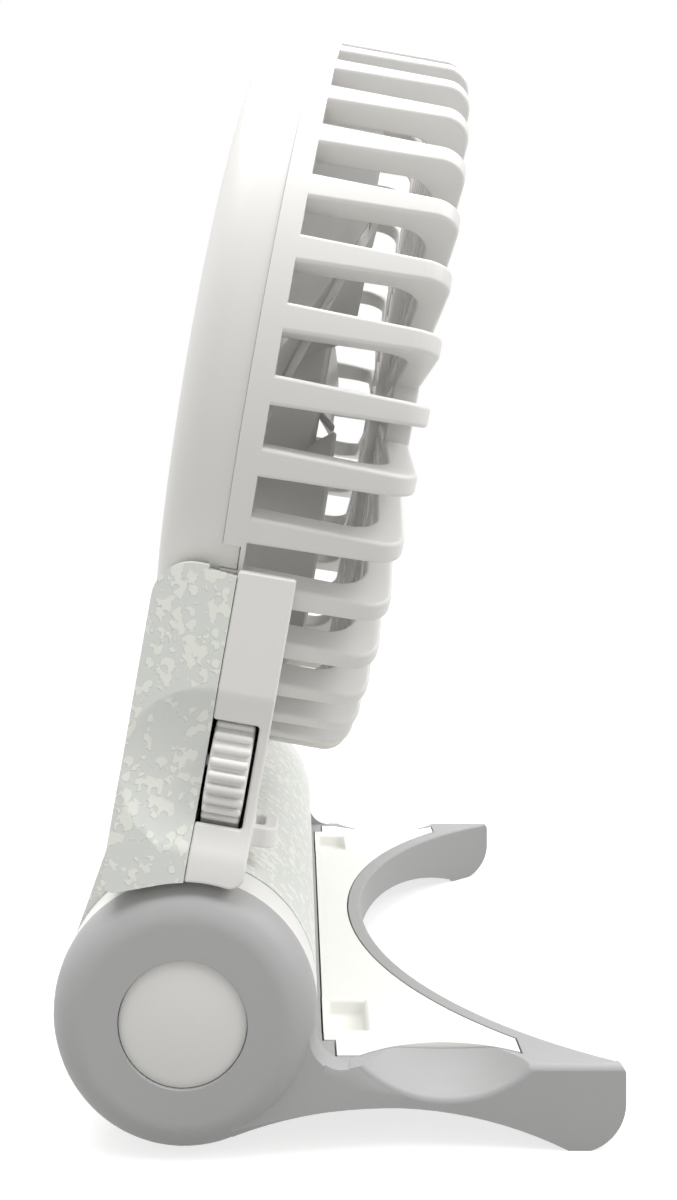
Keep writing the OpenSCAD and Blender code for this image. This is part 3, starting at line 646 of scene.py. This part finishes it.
def cut(piece: Piece, tool: Piece, operation: str = "DIFFERENCE") -> None:
    """Cut a piece with a tool, which is then removed."""
    apply_modifier(piece, "BOOLEAN", object=tool, operation=operation, solver="EXACT")
    bpy.data.objects.remove(tool)


def arc(x: float, r: float, radius: float, start: float, end: float) -> Profile:
    """List points on an arc of a profile.

    Args:
        x: Place of its centre along the axis.
        r: Distance of its centre from the axis.
        radius: Its radius.
        start: Angle of the first point, in degrees from the axis.
        end: Angle of the last point.

    Returns:
        Places along the axis and distances from it.
    """
    angles = [radians(start + (end - start) * i / ARC_STEPS) for i in range(ARC_STEPS + 1)]
    return [(x + radius * cos(a), r + radius * sin(a)) for a in angles]


def turned_profile(profile: Profile, y: float, z: float, start: float, sweep: float) -> Piece:
    """Turn a closed profile part of the way around an axis that runs along X.

    Args:
        profile: Places along X and distances from the axis, in millimetres.
        y: Place of the axis.
        z: Height of the axis.
        start: Where the turn starts, in degrees from Y.
        sweep: How far it goes, in degrees.

    Returns:
        The solid.
    """
    deselect()
    # a spin runs clockwise, so it starts from the far end
    turn = Matrix.Rotation(radians(start + sweep), 4, "X")
    place = Matrix.Translation((0, y * MM, z * MM)) @ turn
    points = [place @ (Vector((x, r, 0)) * MM) for x, r in profile]
    bpy.ops.mesh.primitive_plane_add(size=MM, location=points[0])
    solid = named_at_origin("turned")
    with Editing(solid) as edit:
        edit.everything()
        bpy.ops.mesh.merge(type="CENTER")
        for one, two in zip(points, points[1:]):
            bpy.ops.mesh.extrude_region_move(TRANSFORM_OT_translate={"value": two - one})
        edit.everything()
        bpy.ops.mesh.edge_face_add()
        bpy.ops.mesh.spin(
            steps=round(sweep / SPIN_DEGREES),
            angle=radians(sweep),
            center=(0, y * MM, z * MM),
            axis=(1, 0, 0),
        )
        edit.everything()
        bpy.ops.mesh.remove_doubles(threshold=MERGE * MM)
        bpy.ops.mesh.normals_make_consistent(inside=False)
    return solid


def joint_place(name: str) -> tuple[Vector, Vector]:
    """Return the place of one of the frame's joints, in metres, and its axis."""
    joint = next(j for j in frame["joints"] if j["name"] == name)
    return Vector(joint["pos_m"]), Vector(joint["axis"]).normalized()


def facing(place: Vector, ahead: Vector) -> Matrix:
    """Build the place of a piece that is modelled around Z.

    Args:
        place: Where its origin goes, in metres.
        ahead: Where its Z axis points, square to X.

    Returns:
        The matrix, with X left as it is.
    """
    across = Vector((1, 0, 0))
    up = ahead.cross(across)
    turn = Matrix((across, up, ahead)).transposed().to_4x4()
    return Matrix.Translation(place) @ turn


def merged_copy(node: str, name: str) -> Piece:
    """Copy a node's mesh with its doubles merged and its flat parts in one face each.

    Args:
        node: The CAD node.
        name: The copy's name.

    Returns:
        The copy.
    """
    piece = bpy.data.objects.new(name, frame["nodes"][node].data.copy())
    piece.data.name = name
    bpy.context.scene.collection.objects.link(piece)
    with Editing(piece) as edit:
        edit.everything()
        bpy.ops.mesh.remove_doubles(threshold=COPY_MERGE * MM)
        bpy.ops.mesh.dissolve_limited(angle_limit=radians(FLAT_ANGLE))
        bpy.ops.mesh.customdata_custom_splitnormals_clear()
    return piece


@dataclass
class SubAssembly:
    """What every sub-assembly shares: the finishes, and how a piece takes the place of a node."""

    finishes: Finishes

    def settle(
        self, piece: Piece, body: CadBody, slot: Slot, node: str, place: Matrix | None = None
    ) -> Piece:
        """Put a piece in its place, dress it and let it stand for a node.

        Args:
            piece: The piece.
            body: The body that it rides on.
            slot: Its finish.
            node: The CAD node that it stands for.
            place: Where it goes, if it was modelled around Z at the origin.

        Returns:
            The piece.
        """
        if place is not None:
            piece.data.transform(place)
            piece.data.update()
        smooth(piece)
        self.finishes.dress(piece, slot)
        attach(piece, body.value)
        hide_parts(node)
        return piece

    def shell(self, node: str, name: str, body: CadBody, slot: Slot, edge: float = 0.0) -> Piece:
        """Copy a moulded shell from its node and round its edges.

        Args:
            node: The CAD node.
            name: The shell's name.
            body: The body that it rides on.
            slot: Its finish.
            edge: Width of the rounding, none by default.

        Returns:
            The shell.
        """
        piece = merged_copy(node, name)
        if edge:
            soften(piece, edge, segments=3)
        return self.settle(piece, body, slot, node)

    def carry(self, slot: Slot, *nodes: str) -> list[Piece]:
        """Dress CAD nodes that stay as they are.

        Args:
            slot: Their finish.
            nodes: Their names.

        Returns:
            Their objects.
        """
        pieces = [frame["nodes"][node] for node in nodes]
        for piece in pieces:
            self.finishes.dress(piece, slot)
        return pieces


@dataclass
class Base(SubAssembly):
    """The grey U-shaped base with its ears, the inset panel and the hinge's hardware."""

    cap_r: float = 7.65
    cap_t: float = 1.3
    cap_crown: float = 0.5
    cap_edge: float = 0.2
    cover_edge: float = 0.25
    deck_drop: float = 6.2
    notch_rise: float = 79.6
    notch_r: float = 55.6
    rim_round: float = 0.5
    pocket_low: tuple[float, float] = (32.4, -4.0)
    pocket_high: tuple[float, float] = (40.8, 0.9)
    pocket_round: float = 0.5
    arm_half: float = 49.8
    scoop: tuple[float, float, float] = (55.4, -31.7, 4.69)
    scoop_r: float = 16.0
    scoop_round: float = 0.9
    ear_r: float = 16.0
    ear_rim: float = 48.4
    ear_round: float = 4.4
    ear_fillet: float = 4.0
    # how far the tools reach past what they cut, and the hollow's first angle and sweep
    scoop_over: float = 1.5
    fillet_over: float = 0.6
    scoop_sector: tuple[float, float] = (215.0, 110.0)
    cap_rings: int = 6
    near: float = 0.06

    def build(self) -> list[Piece]:
        """Model and dress the base.

        Returns:
            Its pieces.
        """
        self.hinge = joint_place("fold")[0] / MM
        self.deck = self.hinge.z - self.deck_drop
        pieces = [self.frame_shell(), self.panel()]
        for side in ("left", "right"):
            name = f"{side}_ear_cover"
            pieces.append(self.shell(f"ear_cover_{side}", name, CadBody.BASE, Slot.WHITE, self.cover_edge))
        pieces += [self.cap("left", -1), self.cap("right", 1)]
        pieces += self.carry(Slot.STEEL, "pivot_screw_left", "pivot_screw_right", "hinge_washers")
        return pieces

    def on_deck(self, edge: Any) -> bool:
        """Say whether an edge lies in the plane of the arms' top face."""
        return all(abs(point.co.z / MM - self.deck) < self.near for point in edge.verts)

    def on_rim(self, edge: Any) -> bool:
        """Say whether an edge is on the rim of the base's round opening."""
        reach = [hypot(p.co.x / MM, p.co.y / MM - self.hinge.y + self.notch_rise) for p in edge.verts]
        return self.on_deck(edge) and all(abs(r - self.notch_r) < self.near for r in reach)

    def both_arms(self, profile: Profile, y: float, z: float, start: float, sweep: float) -> list[Piece]:
        """Turn a profile about an axis that is set off from the hinge, for the left arm and the right."""
        turn = (self.hinge.y + y, self.hinge.z + z, start, sweep)
        return [turned_profile([(sign * x, r) for x, r in profile], *turn) for sign in (-1, 1)]

    def scoop_tools(self) -> list[Piece]:
        """Model what rounds the lip of each arm's finger hollow.

        Returns:
            The left arm's tool and the right arm's.
        """
        x, y, z = self.scoop
        small = self.scoop_round
        reach = sqrt((self.scoop_r + small) ** 2 - (x - self.arm_half + small) ** 2)
        turn = degrees(atan2(reach, x - self.arm_half + small))
        lip = arc(self.arm_half - small, reach, small, 0, -turn)
        # the arm widens towards the ear, so the tool's outside widens too
        outside = self.arm_half + self.scoop_over
        profile = [(outside, reach - small * 2), (outside, reach + 3 * self.scoop_over), *lip]
        profile.append((lip[-1][0], reach - small * 2))
        return self.both_arms(profile, y, z, *self.scoop_sector)

    def fillet_tools(self) -> list[Piece]:
        """Model what rounds the outer edge of the corner between each ear and its arm.

        Returns:
            The left arm's tool and the right arm's.
        """
        drop = self.ear_fillet - self.deck_drop
        ahead = sqrt((self.ear_r + self.ear_fillet) ** 2 - drop**2)
        outside = self.ear_rim + self.ear_round + self.fillet_over
        inner = self.ear_fillet - self.fillet_over
        outer = self.ear_fillet + self.ear_round
        curve = arc(self.ear_rim, outer, self.ear_round, -90, 0)
        profile = [(self.ear_rim, inner), *curve, (outside, outer), (outside, inner)]
        to_ear = degrees(atan2(-drop, ahead))
        return self.both_arms(profile, -ahead, drop, -90, 90 + to_ear)

    def in_pocket(self, edge: Any) -> bool:
        """Say whether an edge is a sharp one inside a pocket of the panel.

        Args:
            edge: The edge.

        Returns:
            True if it is.
        """
        (x0, y0), (x1, y1) = self.pocket_low, self.pocket_high
        near = self.near
        points = [point.co / MM for point in edge.verts]
        inside = [x0 - near < abs(p.x) < x1 + near and y0 - near < p.y < y1 + near for p in points]
        return all(inside) and is_sharp(edge)

    def frame_shell(self) -> Piece:
        """Round the edges of the base frame that catch the light.

        Returns:
            The frame.
        """
        piece = merged_copy("base_frame", "base_shell")
        with Editing(piece) as edit:
            edit.edges(self.on_rim)
            bevel(self.rim_round, segments=3)
        for tools in zip(self.scoop_tools(), self.fillet_tools()):
            for tool in tools:
                cut(piece, tool)
        return self.settle(piece, CadBody.BASE, Slot.GREY, "base_frame")

    def panel(self) -> Piece:
        """Round the edges of the panel's pockets.

        Returns:
            The panel.
        """
        piece = merged_copy("base_panel", "inset_panel")
        with Editing(piece) as edit:
            edit.edges(self.in_pocket)
            bevel(self.pocket_round, segments=3)
        return self.settle(piece, CadBody.BASE, Slot.PANEL, "base_panel")

    def cap(self, side: str, sign: int) -> Piece:
        """Model the crowned cap on one ear.

        Args:
            side: The side's name.
            sign: Minus one on the left and one on the right.

        Returns:
            The cap.
        """
        flat = self.cap_t - self.cap_crown
        cap = add_cylinder(f"{side}_ear_cap", self.cap_r, 0, flat, sides=96)
        with Editing(cap) as edit:
            edit.faces(looks_up)
            done = 0.0
            for i in range(self.cap_rings):
                inset(self.cap_r / (self.cap_rings + 1))
                share = (i + 1) / (self.cap_rings + 1)
                rise = self.cap_crown * (1 - (1 - share) ** 2)
                move(0, 0, rise - done)
                done = rise
        soften(cap, self.cap_edge, angle=SHARP)
        hinge, _ = joint_place("fold")
        low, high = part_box(f"ear_cap_{side}")
        outer = low.x if sign < 0 else high.x
        place = Matrix.Translation((outer - sign * self.cap_t * MM, hinge.y, hinge.z))
        place @= Matrix.Rotation(radians(90 * sign), 4, "Y")
        return self.settle(cap, CadBody.BASE, Slot.CAP, f"ear_cap_{side}", place)


@dataclass
class Body(SubAssembly):
    """The cradle-shaped body: two shells, the hinge bushes and what they hold."""

    front_edge: float = 0.35

    def build(self) -> list[Piece]:
        """Model and dress the body.

        Returns:
            Its pieces.
        """
        pieces = [
            self.shell("rear_shell", "speckled_shell", CadBody.BODY, Slot.SPECKLED),
            self.shell("front_shell", "plain_shell", CadBody.BODY, Slot.WHITE, self.front_edge),
        ]
        pieces += self.carry(Slot.WHITE, "hinge_bush_left", "hinge_bush_right", "battery_cradle")
        pieces += self.carry(Slot.JACKET, "battery_cell")
        pieces += self.carry(Slot.LAMINATE, "circuit_board")
        pieces += self.carry(
            Slot.STEEL, "battery_contacts", "speed_control", "charge_socket", "shell_screws"
        )
        return pieces


@dataclass
class Head(SubAssembly):
    """The round head: rear cover, ribbed cage with its rings, centre cap and motor."""

    cage_r: float = 55.0
    band_back: float = -5.3
    root: float = -2.5
    front: float = 16.3
    wall: float = 1.8
    rib_count: int = 40
    rib_w: float = 3.6
    rib_front_w: float = 2.6
    rib_t: float = 3.6
    rib_round: float = 5.0
    rib_inner_round: float = 3.9
    rib_edge: float = 0.5
    rib_sink: float = 0.6
    ring_r: float = 33.0
    ring_w: float = 2.4
    boss_r: float = 14.0
    fine_w: float = 1.2
    key_w: float = 3.3
    key_h: float = 2.1
    key_lap: float = 0.5
    key_gap: float = 0.12
    key_angles: tuple[float, float] = (-26.7, 206.7)
    cover_r: float = 54.7
    cover_back: float = -13.5
    cover_round: float = 5.0
    inlet_count: int = 36
    inlet_w: float = 2.4
    inlet_in: float = 16.8
    inlet_out: float = 45.8
    screw_count: int = 3
    screw_at: float = 6.0
    screw_r: float = 1.1
    over: float = 1.0
    seat: float = 0.05
    key_sink: float = 0.03
    cover_edge: float = 0.25
    key_edge: float = 0.12
    ring_edge: float = 0.45
    fine_edge: float = 0.3
    cap_edge: float = 0.2
    cap_low: float = 0.5
    # how far the middle cap steps forward, and over what width, from its rim inwards
    cap_steps: tuple[tuple[float, float], ...] = (
        (0.0, 1.4), (-0.25, 0.25), (0.0, 0.35), (0.4, 0.4), (0.15, 3.0), (0.05, 3.0)
    )

    def build(self) -> list[Piece]:
        """Model and dress the head.

        Returns:
            Its pieces.
        """
        self.place = facing(*joint_place("fan_spin"))
        pieces = [self.cover(), self.cage(), self.cap()]
        pieces += self.carry(Slot.STEEL, "motor", "motor_screws")
        return pieces + self.carry(Slot.BRASS, "motor_bush")

    def rib(self) -> Piece:
        """Model one L-shaped rib that narrows towards the front.

        Returns:
            The rib.
        """
        inner = self.cage_r - self.rib_t
        low = self.root - self.rib_sink
        start = self.ring_r - self.ring_w / 2
        back = self.front - self.rib_t
        deselect()
        bpy.ops.mesh.primitive_plane_add(size=1, rotation=(radians(90), 0, 0))
        rib = named_at_origin("rib")
        with Editing(rib) as edit:
            edit.everything()
            bpy.ops.transform.resize(value=((self.cage_r - start) * MM, 1, self.rib_t * MM))
            move((self.cage_r + start) / 2, 0, (self.front + back) / 2)
            bpy.ops.mesh.bisect(plane_co=(inner * MM, 0, 0), plane_no=(1, 0, 0))
            edit.edges(lambda edge: middle(edge).x > inner and at_height(back)(edge))
            extrude(0, 0, low - back)
            edit.everything()
            bpy.ops.mesh.dissolve_faces()
            edit.points(at_corner(self.cage_r, self.front))
            bevel(self.rib_round, segments=8, affect="VERTICES")
            edit.points(at_corner(inner, back))
            bevel(self.rib_inner_round, segments=6, affect="VERTICES")
            edit.everything()
            extrude(0, self.rib_w, 0)
            edit.everything()
            move(0, -self.rib_w / 2, 0)
            bpy.ops.mesh.normals_make_consistent(inside=False)
            fall = (self.rib_w - self.rib_front_w) / 2 / (self.front - self.root)
            for side in (-1, 1):
                edit.everything()
                bpy.ops.mesh.bisect(
                    plane_co=(0, side * self.rib_w / 2 * MM, self.root * MM),
                    plane_no=(0, side, fall),
                    use_fill=True,
                    clear_outer=True,
                )
            edit.edges(lambda edge: middle(edge).z > low + NEAR and is_sharp(edge))
            bevel(self.rib_edge, segments=3)
        return rib

    def cover(self) -> Piece:
        """Model the rear cover: a deep dish with air inlets, screw holes and two keys.

        Returns:
            The cover.
        """
        cover = add_cylinder("rear_cover_shell", self.cover_r, self.cover_back, self.band_back, sides=240)
        with Editing(cover) as edit:
            edit.edges(at_height(self.cover_back))
            bevel(self.cover_round, segments=10)
            edit.faces(looks_up)
            bpy.ops.mesh.delete(type="FACE")
        thicken(cover, self.wall)
        low, high = self.cover_back - self.over, self.cover_back + self.wall + self.over
        half = self.inlet_w / 2
        inlet = add_bar("inlet", (self.inlet_in - half, self.inlet_out + half), self.inlet_w, (low, high))
        with Editing(inlet) as edit:
            edit.edges(lambda edge: rise_of(edge) > 1)
            bevel(half * ROUND_SHARE, segments=6)
        tools = turned_copies(inlet, self.inlet_count)
        hole = add_cylinder("hole", self.screw_r, low, high, sides=32)
        shift_by(hole, self.screw_at)
        tools += turned_copies(hole, self.screw_count)
        cut(cover, join("inlets", tools))
        soften(cover, self.cover_edge, angle=SHARP)
        keys = []
        for angle in self.key_angles:
            ends = (self.cage_r - self.wall, self.cover_r - self.key_sink)
            heights = (self.band_back - self.key_lap, self.band_back + self.key_h)
            key = add_bar("key", ends, self.key_w, heights)
            soften(key, self.key_edge, angle=SHARP)
            turn_by(key, angle)
            keys.append(key)
        cover = join("rear_cover_shell", [cover, *keys])
        return self.settle(cover, CadBody.BODY, Slot.WHITE, "rear_cover", self.place)

    def ring(self, name: str, radius: float, sides: int) -> Piece:
        """Model a ring of the cage's face.

        Args:
            name: The ring's name.
            radius: Its outer radius in millimetres.
            sides: Number of sides.

        Returns:
            The ring.
        """
        low, high = self.front - self.rib_t + self.seat, self.front - self.seat
        ring = add_cylinder(name, radius, low, high, sides, Ends.OPEN)
        thicken(ring, self.ring_w)
        soften(ring, self.ring_edge)
        return ring

    def cage(self) -> Piece:
        """Model the front cage.

        Returns:
            The cage.
        """
        band = add_cylinder("band", self.cage_r, self.band_back, self.root, 240, Ends.OPEN)
        thicken(band, self.wall, even=False)
        for angle in self.key_angles:
            ends = (self.cage_r - 2 * self.wall, self.cage_r + self.wall)
            heights = (self.band_back - self.over, self.band_back + self.key_h + self.key_gap)
            window = add_bar("window", ends, self.key_w + 2 * self.key_gap, heights)
            turn_by(window, angle)
            cut(band, window)
        rings = [self.ring("ring", self.ring_r, 192), self.ring("boss", self.boss_r, 128)]
        ribs = turned_copies(self.rib(), self.rib_count, 0.5)
        ends = (self.boss_r - self.ring_w / 2, self.ring_r - self.ring_w / 2)
        heights = (self.front - self.rib_t + 2 * self.seat, self.front - 2 * self.seat)
        fine = add_bar("fine", ends, self.fine_w, heights)
        soften(fine, self.fine_edge, angle=SHARP)
        fines = turned_copies(fine, self.rib_count, 0.5)
        cage = join("ribbed_cage", [band, *rings, *ribs, *fines])
        return self.settle(cage, CadBody.BODY, Slot.WHITE, "front_cage", self.place)

    def cap(self) -> Piece:
        """Model the plain cap in the middle of the cage.

        Returns:
            The cap.
        """
        radius = self.boss_r - self.ring_w - self.seat
        cap = add_cylinder("middle_cap", radius, self.front - self.rib_t, self.front - self.cap_low, sides=96)
        with Editing(cap) as edit:
            edit.faces(looks_up)
            for step, width in self.cap_steps:
                inset(width)
                move(0, 0, step)
        soften(cap, self.cap_edge, angle=SHARP)
        return self.settle(cap, CadBody.BODY, Slot.CAP, "centre_cap", self.place)


@dataclass
class ThumbWheel(SubAssembly):
    """The ribbed wheel that looks out of the body's left side."""

    radius: float = 8.0
    back: float = -2.4
    front: float = 2.5
    bore: float = 1.55
    grip_count: int = 30
    grip_r: float = 0.5
    grip_sink: float = 0.02
    grip_short: float = 0.1
    grip_tip_share: float = 0.7
    edge: float = 0.5

    def build(self) -> list[Piece]:
        """Model and dress the wheel.

        Returns:
            The wheel, as the only piece.
        """
        place = facing(*joint_place("wheel_turn"))
        core_r = self.radius - 2 * self.grip_r
        core = add_cylinder("core", core_r + self.grip_r / 2, self.back, self.front, 120, Ends.OPEN)
        thicken(core, core_r + self.grip_r / 2 - self.bore, even=False)
        soften(core, self.edge, segments=3, angle=SHARP)
        low, high = self.back + self.grip_short, self.front - self.grip_short
        grip = add_cylinder("grip", self.grip_r, low, high, sides=16)
        with Editing(grip) as edit:
            edit.edges(lambda edge: rise_of(edge) < NEAR)
            bevel(self.grip_r * self.grip_tip_share, segments=3)
        shift_by(grip, self.radius - self.grip_r - self.grip_sink)
        grips = turned_copies(grip, self.grip_count)
        wheel = join("ribbed_wheel", [core, *grips])
        return [self.settle(wheel, CadBody.WHEEL, Slot.WHITE, "thumb_wheel", place)]


@dataclass
class Impeller(SubAssembly):
    """The impeller: a hub and swept blades that twist along the axis, with the motor's shaft."""

    blade_count: int = 5
    blade_r: float = 49.2
    blade_back: float = -8.3
    blade_h: float = 15.0
    blade_t: float = 1.2
    blade_turn: float = 52.0
    blade_corner: float = 4.0
    bend_r: float = 39.36
    bend_x: float = 30.5
    bend_y: float = 27.06
    hub_r: float = 14.2
    hub_back: float = -8.7
    hub_front: float = 3.7
    hub_wall: float = 1.4
    slices: int = 12
    bend_steps: int = 24
    # where the search along the bend starts, and its step, in degrees
    bend_start: float = -90.0
    bend_step: float = 0.1
    blade_over: float = 1.0
    blade_edge: float = 0.3
    hub_round: float = 1.1
    hub_edge: float = 0.25
    # edges sharper than this many degrees are rounded
    corner: float = 60.0

    def build(self) -> list[Piece]:
        """Model and dress the impeller.

        Returns:
            Its pieces.
        """
        place = facing(*joint_place("fan_spin"))
        blades = turned_copies(self.blade(), self.blade_count)
        impeller = join("swept_impeller", [self.hub(), *blades])
        impeller = self.settle(impeller, CadBody.FAN, Slot.BLADE, "impeller", place)
        return [impeller, *self.carry(Slot.STEEL, "motor_shaft")]

    def hub(self) -> Piece:
        """Model the hub as a cup.

        Returns:
            The hub.
        """
        hub = add_cylinder("hub", self.hub_r, self.hub_back, self.hub_front, sides=96)
        with Editing(hub) as edit:
            edit.edges(at_height(self.hub_front))
            bevel(self.hub_round, segments=5)
            edit.faces(lambda face: face.normal.z < -FACING)
            inset(self.hub_wall)
            extrude(0, 0, self.hub_front - self.hub_wall - self.hub_back)
        soften(hub, self.hub_edge, angle=self.corner)
        return hub

    def bend_point(self, angle: float) -> Vector:
        """Find a point of the blade's bend.

        Args:
            angle: Where it is, in degrees from X.

        Returns:
            The point in millimetres, at the back of the blade.
        """
        x = self.bend_x + self.bend_r * cos(radians(angle))
        y = self.bend_y + self.bend_r * sin(radians(angle))
        return Vector((x, y, self.blade_back))

    def bend_angle(self, radius: float) -> float:
        """Find where the blade's bend is a radius from the axis.

        Args:
            radius: The radius in millimetres.

        Returns:
            The angle in degrees from X.
        """
        angle = self.bend_start
        step = self.bend_step if radius > self.bend_x else -self.bend_step
        while (self.bend_point(angle).xy.length - radius) * step <= 0:
            angle += step
        return angle

    def blade(self) -> Piece:
        """Model one blade: an arc extruded along the axis and turned as it goes.

        Returns:
            The blade.
        """
        outer = self.bend_angle(self.blade_r + self.blade_over)
        inner = self.bend_angle(self.hub_r - self.hub_wall / 2)
        deselect()
        bpy.ops.mesh.primitive_plane_add(size=MM, location=self.bend_point(outer) * MM)
        blade = named_at_origin("blade")
        rise = self.blade_h / self.slices
        with Editing(blade) as edit:
            edit.everything()
            bpy.ops.mesh.merge(type="CENTER")
            bpy.ops.mesh.spin(
                steps=self.bend_steps,
                angle=radians(outer - inner),
                center=(self.bend_x * MM, self.bend_y * MM, self.blade_back * MM),
                axis=(0, 0, 1),
            )
            edit.everything()
            for _ in range(self.slices):
                extrude(0, 0, rise)
                bpy.ops.transform.rotate(
                    value=radians(self.blade_turn / self.slices),
                    orient_axis="Z",
                    center_override=(0, 0, 0),
                )
            edit.everything()
            bpy.ops.mesh.normals_make_consistent(inside=False)
        thicken(blade, self.blade_t, offset=0.0)
        low, high = self.blade_back, self.blade_back + self.blade_h
        envelope = add_cylinder("envelope", self.blade_r, low, high, sides=180)
        with Editing(envelope) as edit:
            edit.edges(lambda edge: rise_of(edge) < NEAR)
            bevel(self.blade_corner, segments=6)
        cut(blade, envelope, "INTERSECT")
        soften(blade, self.blade_edge, angle=self.corner)
        return blade


@dataclass(frozen=True)
class Studio:
    """A plain pale floor, soft light and the photograph's camera."""

    camera_place: tuple[float, float, float] = (-182.1, 4.7, 78.3)
    focal_px: float = 1100.0
    axis_px: tuple[float, float] = (300.0, 500.0)
    sensor: float = 36.0
    clip: tuple[float, float] = (0.01, 20.0)
    floor_half: float = 1500.0
    floor_colour: str = "#A2A2A0"
    floor_glow: float = 0.75
    world_level: float = 0.66
    # place, power in watts and side of each lamp
    lamps: tuple[tuple[tuple[float, float, float], float, float], ...] = (
        ((0.0, 0.1, 1.0), 12.0, 0.9),
        ((-0.2, -0.85, 0.8), 5.5, 0.6),
    )

    def build(self) -> None:
        """Make the camera, the world, the lamps and the floor."""
        bpy.context.scene.view_settings.view_transform = "Standard"
        self.camera()
        self.world()
        for place, power, size in self.lamps:
            self.lamp(Vector(place), power, size)
        self.floor()

    def camera(self) -> None:
        """Make the photograph's camera."""
        data = bpy.data.cameras.new("camera")
        wide, high = PHOTO_SIZE
        data.sensor_width = self.sensor
        data.lens = self.focal_px / high * self.sensor
        data.shift_x = (wide / 2 - self.axis_px[0]) / high
        data.shift_y = (self.axis_px[1] - high / 2) / high
        data.clip_start, data.clip_end = self.clip
        camera = bpy.data.objects.new("camera", data)
        camera.location = Vector(self.camera_place) * MM
        camera.rotation_euler = (radians(90), 0, radians(-90))
        bpy.context.scene.collection.objects.link(camera)
        bpy.context.scene.camera = camera

    def world(self) -> None:
        """Make a world that lights softly and looks white."""
        world = bpy.data.worlds.new("studio")
        bpy.context.scene.world = world
        add = empty_tree(world)
        soft = add("Background", {"Color": srgb(WHITE), "Strength": self.world_level})
        white = add("Background", {"Color": srgb(WHITE), "Strength": 1.0})
        mix = add("MixShader", links={0: self.seen(add), 1: soft, 2: white})
        add("OutputWorld", links={"Surface": mix})

    def seen(self, add: Adder) -> Node:
        """Add what tells the rays that see the white background.

        Args:
            add: What adds nodes to the tree.

        Returns:
            A node that gives one for camera, glossy and transmission rays.
        """
        rays = add("LightPath").outputs
        first = add("Math", {"operation": "MAXIMUM"}, {0: rays["Is Camera Ray"], 1: rays["Is Glossy Ray"]})
        return add("Math", {"operation": "MAXIMUM"}, {0: first, 1: rays["Is Transmission Ray"]})

    def lamp(self, place: Vector, power: float, size: float) -> None:
        """Hang one large soft lamp that looks at the middle of the floor.

        Args:
            place: Where it hangs, in metres.
            power: Its power in watts.
            size: Its side in metres.
        """
        data = bpy.data.lights.new("softbox", "AREA")
        data.shape = "SQUARE"
        data.size = size
        data.energy = power
        lamp = bpy.data.objects.new("softbox", data)
        lamp.location = place
        lamp.rotation_euler = place.to_track_quat("Z", "Y").to_euler()
        bpy.context.scene.collection.objects.link(lamp)

    def floor(self) -> None:
        """Lay the pale floor, which looks white and keeps the object's shadow."""
        deselect()
        bpy.ops.mesh.primitive_plane_add(size=2 * self.floor_half * MM, location=(0, 0, 0))
        floor = named_at_origin("floor")
        material = bpy.data.materials.new("pale_floor")
        add = empty_tree(material)
        matt = add("BsdfDiffuse", {"Color": srgb(self.floor_colour)})
        level = add("Math", {"operation": "MULTIPLY", 1: self.floor_glow}, {0: self.seen(add)})
        glow = add("Emission", {"Color": srgb(WHITE)}, {"Strength": level})
        both = add("AddShader", links={0: matt, 1: glow})
        add("OutputMaterial", links={"Surface": both})
        floor.data.materials.append(material)


def main() -> None:
    """Build the studio and every sub-assembly, and report each piece."""
    logging.basicConfig(level=logging.INFO, format="%(name)s: %(message)s")
    Studio().build()
    finishes = Finishes()
    for kind in (Base, Body, Head, ThumbWheel, Impeller):
        for piece in kind(finishes).build():
            LOG.info("%s: %s, %d faces", kind.__name__, piece.name, len(piece.data.polygons))
    deselect()


if __name__ == "__main__":
    main()
